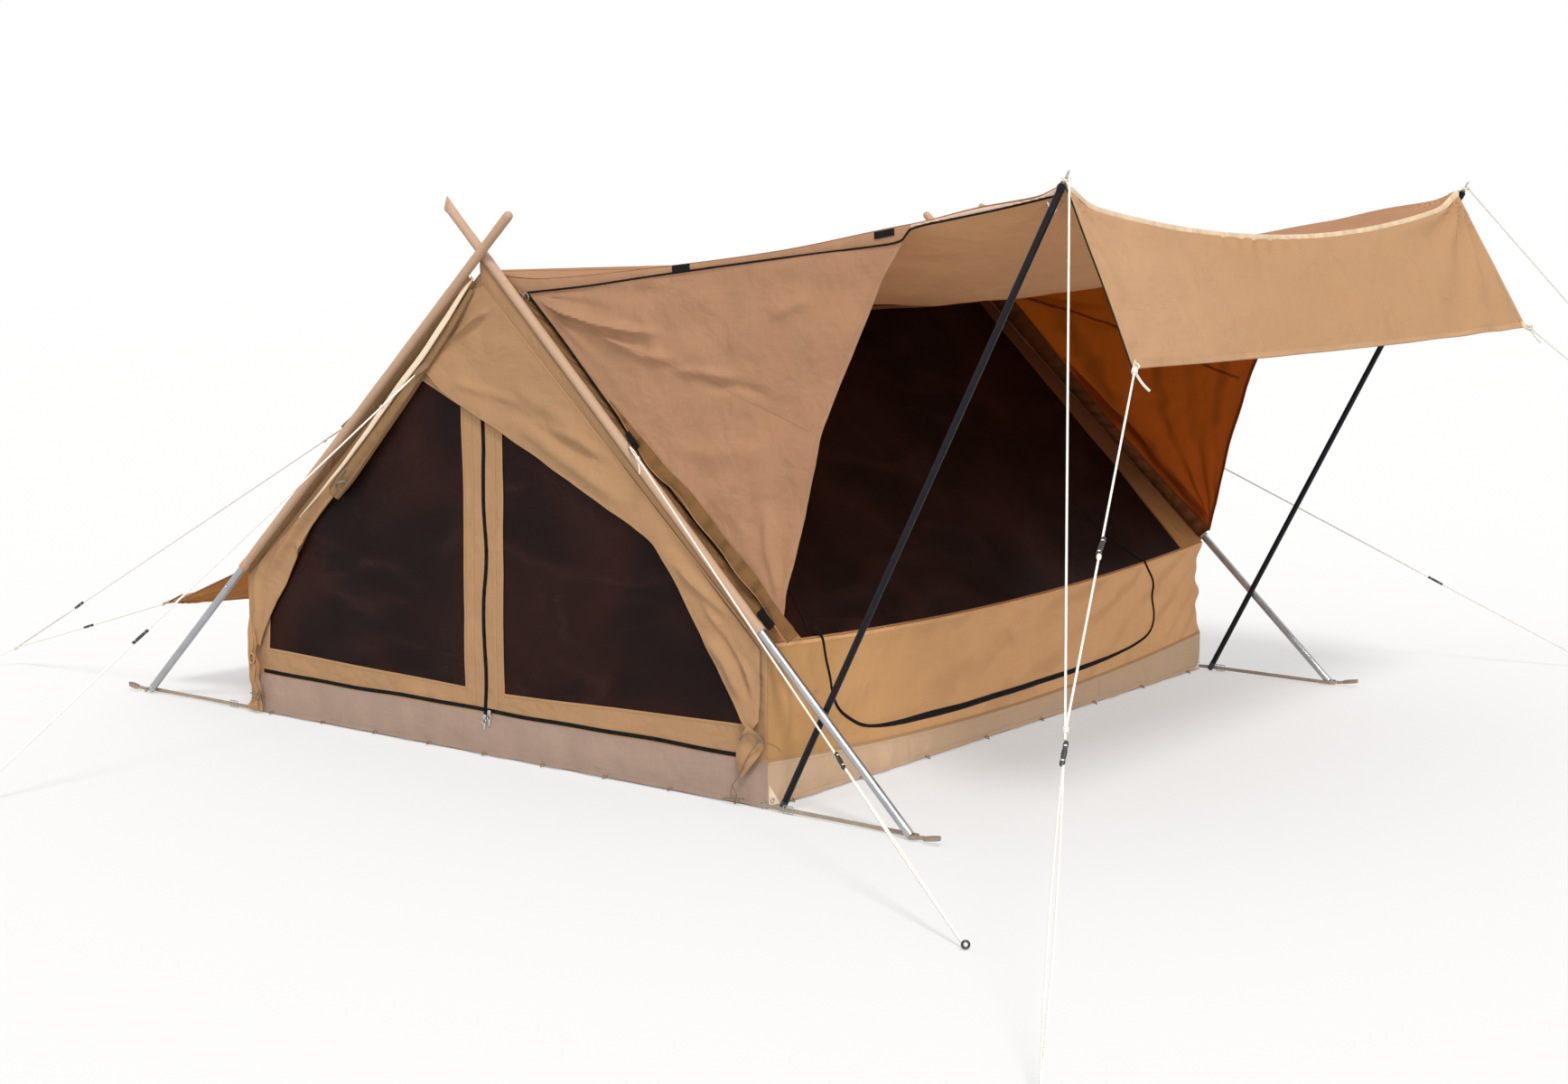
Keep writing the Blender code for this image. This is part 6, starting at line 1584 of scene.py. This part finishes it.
GROUND = 0.006
for label, sx in (("left", -1), ("right", 1)):
    near = sx < 0
    F = lambda p: np.array([sx * p[0], p[1], p[2]], float)
    rake = (AWN_TOP[1] - AWN_FOOT[1]) / AWN_TOP[2]
    spike = (AWN_TOP[0], -AWN_TOP[1] - 0.012 * rake, AWN_TOP[2] + 0.012)
    head = (spike[0], spike[1] - 0.0115, spike[2] - 0.001)
    corner = (DROP[0] + 0.010, -DROP[1] - 0.012, DROP[2] - 0.004)
    meet = (2.327, -2.692, 0.620) if near else (2.657, -2.749, 0.620)
    stake = (2.869, -2.964, GROUND + 0.003) if near else (3.230, -3.000, GROUND + 0.003)
    g = Piece(f"rope_awning_{label}")
    line_rope(g, F(head), F(on_line(meet, stake, 0.030)))
    line_rope(g, F(on_line(meet, stake, 0.075)), F(stake), 0.0029, 0.007)
    line_rope(g, F(corner), F(on_line(corner, meet, 0.505)))
    line_rope(g, F(on_line(corner, meet, 0.535)), F(meet), 0.0029, 0.0)
    runner(g, F(meet), F(stake), 0.020, 0.120)
    runner(g, F(corner), F(meet), 0.495, 0.560)
    knot_at(g, F(meet), F(stake) - F(meet), 0.0080)
    knot_at(g, F(corner), F(meet) - F(corner), 0.0090)
    knot_at(g, F(on_line(corner, meet, 0.556)), F(meet) - F(corner), 0.0066)
    lean = -1 if near else 1
    g.add(g_tube(rounded([F(corner), F((corner[0] + 0.004 * lean, corner[1] - 0.008, corner[2] - 0.016)), F((corner[0] + 0.012 * lean, corner[1] - 0.020, corner[2] - 0.036)),
                          F((corner[0] + 0.022 * lean, corner[1] - 0.032, corner[2] - 0.050))], 2), 0.0034, 8), M_ROPE)
    g.add(g_tube(rounded([F(corner), F((corner[0] - 0.006, corner[1] - 0.012, corner[2] + 0.012)), F((corner[0] - 0.014, corner[1] + 0.006, corner[2] + 0.020)),
                          F((corner[0] - 0.016, corner[1] + 0.012, corner[2] + 0.006))], 2), 0.0026, 8), M_ROPE)
    knot_at(g, F(head), F(meet) - F(head), 0.0056)
    g.add(g_ring(F(spike), (0, -rake, 1), 0.0085, 0.0027), M_ROPE)
    g.add(g_ring(F(beyond(meet, stake, 0.016)), (0.02, 0.03, 1), 0.018, 0.0030), M_ROPE)
    g.make(f"guy_awning_{label}", slot="rope_white")

    # from the front frame pole: a webbing tab on the sleeve, a small loop and the rope
    front = (1.3800, -0.636, 1.034) if near else (1.3995, -0.636, 0.997)
    stake = (2.112, -2.303, GROUND) if near else (2.300, -2.330, GROUND)
    pole = (1.3645, -0.636, 0.9986) if near else (1.3839, -0.636, 0.9615)
    run = unit(np.array([0.0, -0.717, -0.697]))
    knot = on_line(front, stake, 0.030)
    g = Piece(f"rope_frame_front_{label}")
    line_rope(g, F(front), F(knot), 0.0026, 0.004)
    line_rope(g, F(knot), F(on_line(front, stake, 0.668)))
    line_rope(g, F(on_line(front, stake, 0.692)), F(stake), 0.0036, 0.0034)
    runner(g, F(front), F(stake), 0.66, 0.70)
    knot_at(g, F(knot), F(stake) - F(front), 0.0066)
    g.add(g_tube(rounded([F(knot), F(on_line(front, stake, 0.040)) + (0, 0.004, -0.012), F(on_line(front, stake, 0.046)) + (0, 0.010, -0.028)], 2), 0.0023, 8), M_ROPE)
    g.add(g_ring(F(beyond(front, stake, 0.005)) + (0, 0, 0.0065), F((1.0, -0.8, 0.25)), 0.0085, 0.0031), M_PLASTIC)
    a, b = F(pole), F(front)
    across = np.array([sx * 1.0, 0.0, 0.0])
    up = unit(b - a)
    g.add(g_loft([(a + up * 0.0125, run, np.cross(run, up), 0.013, 0.0014), (a + up * 0.026, run, np.cross(run, up), 0.012, 0.0015), (b + up * 0.0035, run, np.cross(run, up), 0.008, 0.0020)], 14, square=0.6), M_TAB)
    g.make(f"guy_frame_front_{label}", slot="rope_white")

    # from the back frame pole
    back = (1.4000, 0.243, 1.208) if near else (1.3865, 0.350, 1.277)
    stake = (2.750, 0.750, GROUND)
    g = Piece(f"rope_frame_back_{label}")
    knot = on_line(back, stake, 0.08)
    line_rope(g, F(back), F(knot), 0.0026, 0.005)
    line_rope(g, F(knot), F(on_line(back, stake, 0.618)))
    line_rope(g, F(on_line(back, stake, 0.642)), F(stake), 0.0029, 0.006)
    runner(g, F(back), F(stake), 0.610, 0.650)
    knot_at(g, F(knot), F(stake) - F(back), 0.0066)
    if near:
        tab = [((sx * 1.3790, 0.206, 1.246), 0.012, 0.0014), ((sx * 1.3900, 0.226, 1.226), 0.011, 0.0015), ((sx * 1.4010, 0.245, 1.207), 0.007, 0.0020)]
    else:
        tab = [((sx * 1.3720, 0.350, 1.277), 0.013, 0.0014), ((sx * 1.3800, 0.350, 1.277), 0.012, 0.0015), ((sx * 1.3880, 0.350, 1.277), 0.007, 0.0020)]
    d = unit(np.array(tab[-1][0]) - np.array(tab[0][0]))
    s = unit(np.cross(d, (0.0, 0.70, -0.71) if not near else (sx * 1.0, 0, 0)))
    g.add(g_loft([(c, s, np.cross(s, d), wa, wb) for c, wa, wb in tab], 14, square=0.6), M_TAB)
    g.add(g_ring(F(beyond(back, stake, 0.016)), (0.02, 0.03, 1), 0.018, 0.0030), M_ROPE)
    g.make(f"guy_frame_back_{label}", slot="rope_white")

    # from the back half of the fly: its side edge and its corner, to one stake
    edge = (FLY_X + 0.010, 0.650, 1.009)
    hem = (BACK_HEM[0] + 0.010, BACK_HEM[1] + 0.008, BACK_HEM[2])
    meet, stake = (1.364, 2.469, 0.070), (1.475, 2.560, GROUND)
    g = Piece(f"rope_fly_{label}")
    knot = on_line(edge, meet, 0.045)
    line_rope(g, F(edge), F(knot), 0.0026, 0.004)
    line_rope(g, F(knot), F(on_line(edge, meet, 0.772)))
    line_rope(g, F(on_line(edge, meet, 0.794)), F(meet), 0.0029, 0.006)
    line_rope(g, F(hem), F(on_line(hem, meet, 0.475)), 0.0029, 0.004)
    line_rope(g, F(on_line(hem, meet, 0.510)), F(meet))
    line_rope(g, F(meet), F(stake))
    runner(g, F(edge), F(meet), 0.765, 0.800)
    runner(g, F(hem), F(meet), 0.455, 0.530)
    knot_at(g, F(knot), F(meet) - F(edge), 0.0066)
    knot_at(g, F(hem), F(meet) - F(hem), 0.0066)
    knot_at(g, F(meet), F(stake) - F(meet), 0.0080)
    g.add(g_ball(F(edge), 0.0056), M_ROPE)
    g.add(g_ring(F(beyond(meet, stake, 0.016)), (0.02, 0.03, 1), 0.018, 0.0030), M_ROPE)
    # the thick loop in the corner of the hem
    g.add(g_tube(rounded([F(hem), F((hem[0] + 0.010, hem[1] - 0.010, hem[2] + 0.010)), F((hem[0] - 0.002, hem[1] - 0.028, hem[2] + 0.020)), F((hem[0] - 0.012, hem[1] - 0.014, hem[2] + 0.006)), F(hem)], 2), 0.0028, 8), M_ROPE)
    g.make(f"guy_fly_{label}", slot="rope_white")

# ------------------------------------------------------------------ floor, light and camera
floor_mat, tree, bsdf, out = new_material("studio_floor")
bsdf.inputs["Base Color"].default_value = (0.60, 0.60, 0.60, 1)
bsdf.inputs["Roughness"].default_value = 0.95
bsdf.inputs["Specular IOR Level"].default_value = 0.0
g = Nodes(tree)
geo = g.node("ShaderNodeNewGeometry")
length = g.node("ShaderNodeVectorMath", _operation="LENGTH")
g.link(geo.outputs["Position"], length.inputs[0])
far = g.node("ShaderNodeMapRange", From_Min=9.0, From_Max=60.0, To_Min=0.40, To_Max=1.0)
g.link(length.outputs["Value"], far.inputs["Value"])
glow = g.node("ShaderNodeEmission", Strength=1.0)
glow.inputs["Color"].default_value = (1.0, 1.0, 1.0, 1)
m = g.node("ShaderNodeMixShader")
g.link(far.outputs["Result"], m.inputs[0])
g.link(bsdf.outputs[0], m.inputs[1])
g.link(glow.outputs[0], m.inputs[2])
g.link(m.outputs[0], out.inputs["Surface"])
n = 64
ring = [(400 * math.cos(2 * math.pi * k / n), 400 * math.sin(2 * math.pi * k / n), -0.0008) for k in range(n)]
me = bpy.data.meshes.new("studio_floor")
me.from_pydata([(0, 0, -0.0008)] + ring, [], [(0, 1 + k, 1 + (k + 1) % n) for k in range(n)])
floor = bpy.data.objects.new("studio_floor", me)
me.materials.append(floor_mat)
bpy.context.scene.collection.objects.link(floor)

world = bpy.data.worlds.new("studio_world")
bpy.context.scene.world = world
world.use_nodes = True
world.node_tree.nodes["Background"].inputs["Color"].default_value = (1.0, 1.0, 1.0, 1)
world.node_tree.nodes["Background"].inputs["Strength"].default_value = 1.0


def sun(name, direction, strength, angle, colour=(1, 1, 1)):
    light = bpy.data.lights.new(name, "SUN")
    light.energy, light.angle, light.color = strength, math.radians(angle), colour
    obj = bpy.data.objects.new(name, light)
    obj.rotation_euler = Vector(direction).to_track_quat("-Z", "Y").to_euler()
    bpy.context.scene.collection.objects.link(obj)
    return obj


sun("key", (0.50, 0.55, -1.00), 2.4, 14, (1.0, 0.985, 0.96))
sun("fill", (0.70, 0.68, -0.16), 1.0, 30)

cam_data = bpy.data.cameras.new("photo_camera")
cam_data.lens, cam_data.sensor_width, cam_data.sensor_fit = 54.49, 36.0, "HORIZONTAL"
cam_data.clip_end = 1000
cam = bpy.data.objects.new("photo_camera", cam_data)
yaw, pitch, rollv = math.radians(37.106), math.radians(7.983), math.radians(0.1405)
d = Vector((math.cos(yaw) * math.cos(pitch), math.sin(yaw) * math.cos(pitch), -math.sin(pitch)))
r = Vector((math.sin(yaw), -math.cos(yaw), 0))
u = r.cross(d)
r2 = r * math.cos(rollv) + u * math.sin(rollv)
u2 = u * math.cos(rollv) - r * math.sin(rollv)
cam.matrix_world = Matrix(((r2.x, u2.x, -d.x, -6.698), (r2.y, u2.y, -d.y, -5.2343), (r2.z, u2.z, -d.z, 1.7322), (0, 0, 0, 1)))
bpy.context.scene.collection.objects.link(cam)
bpy.context.scene.camera = cam
bpy.context.scene.view_settings.view_transform = "Standard"
bpy.context.scene.view_settings.look = "None"

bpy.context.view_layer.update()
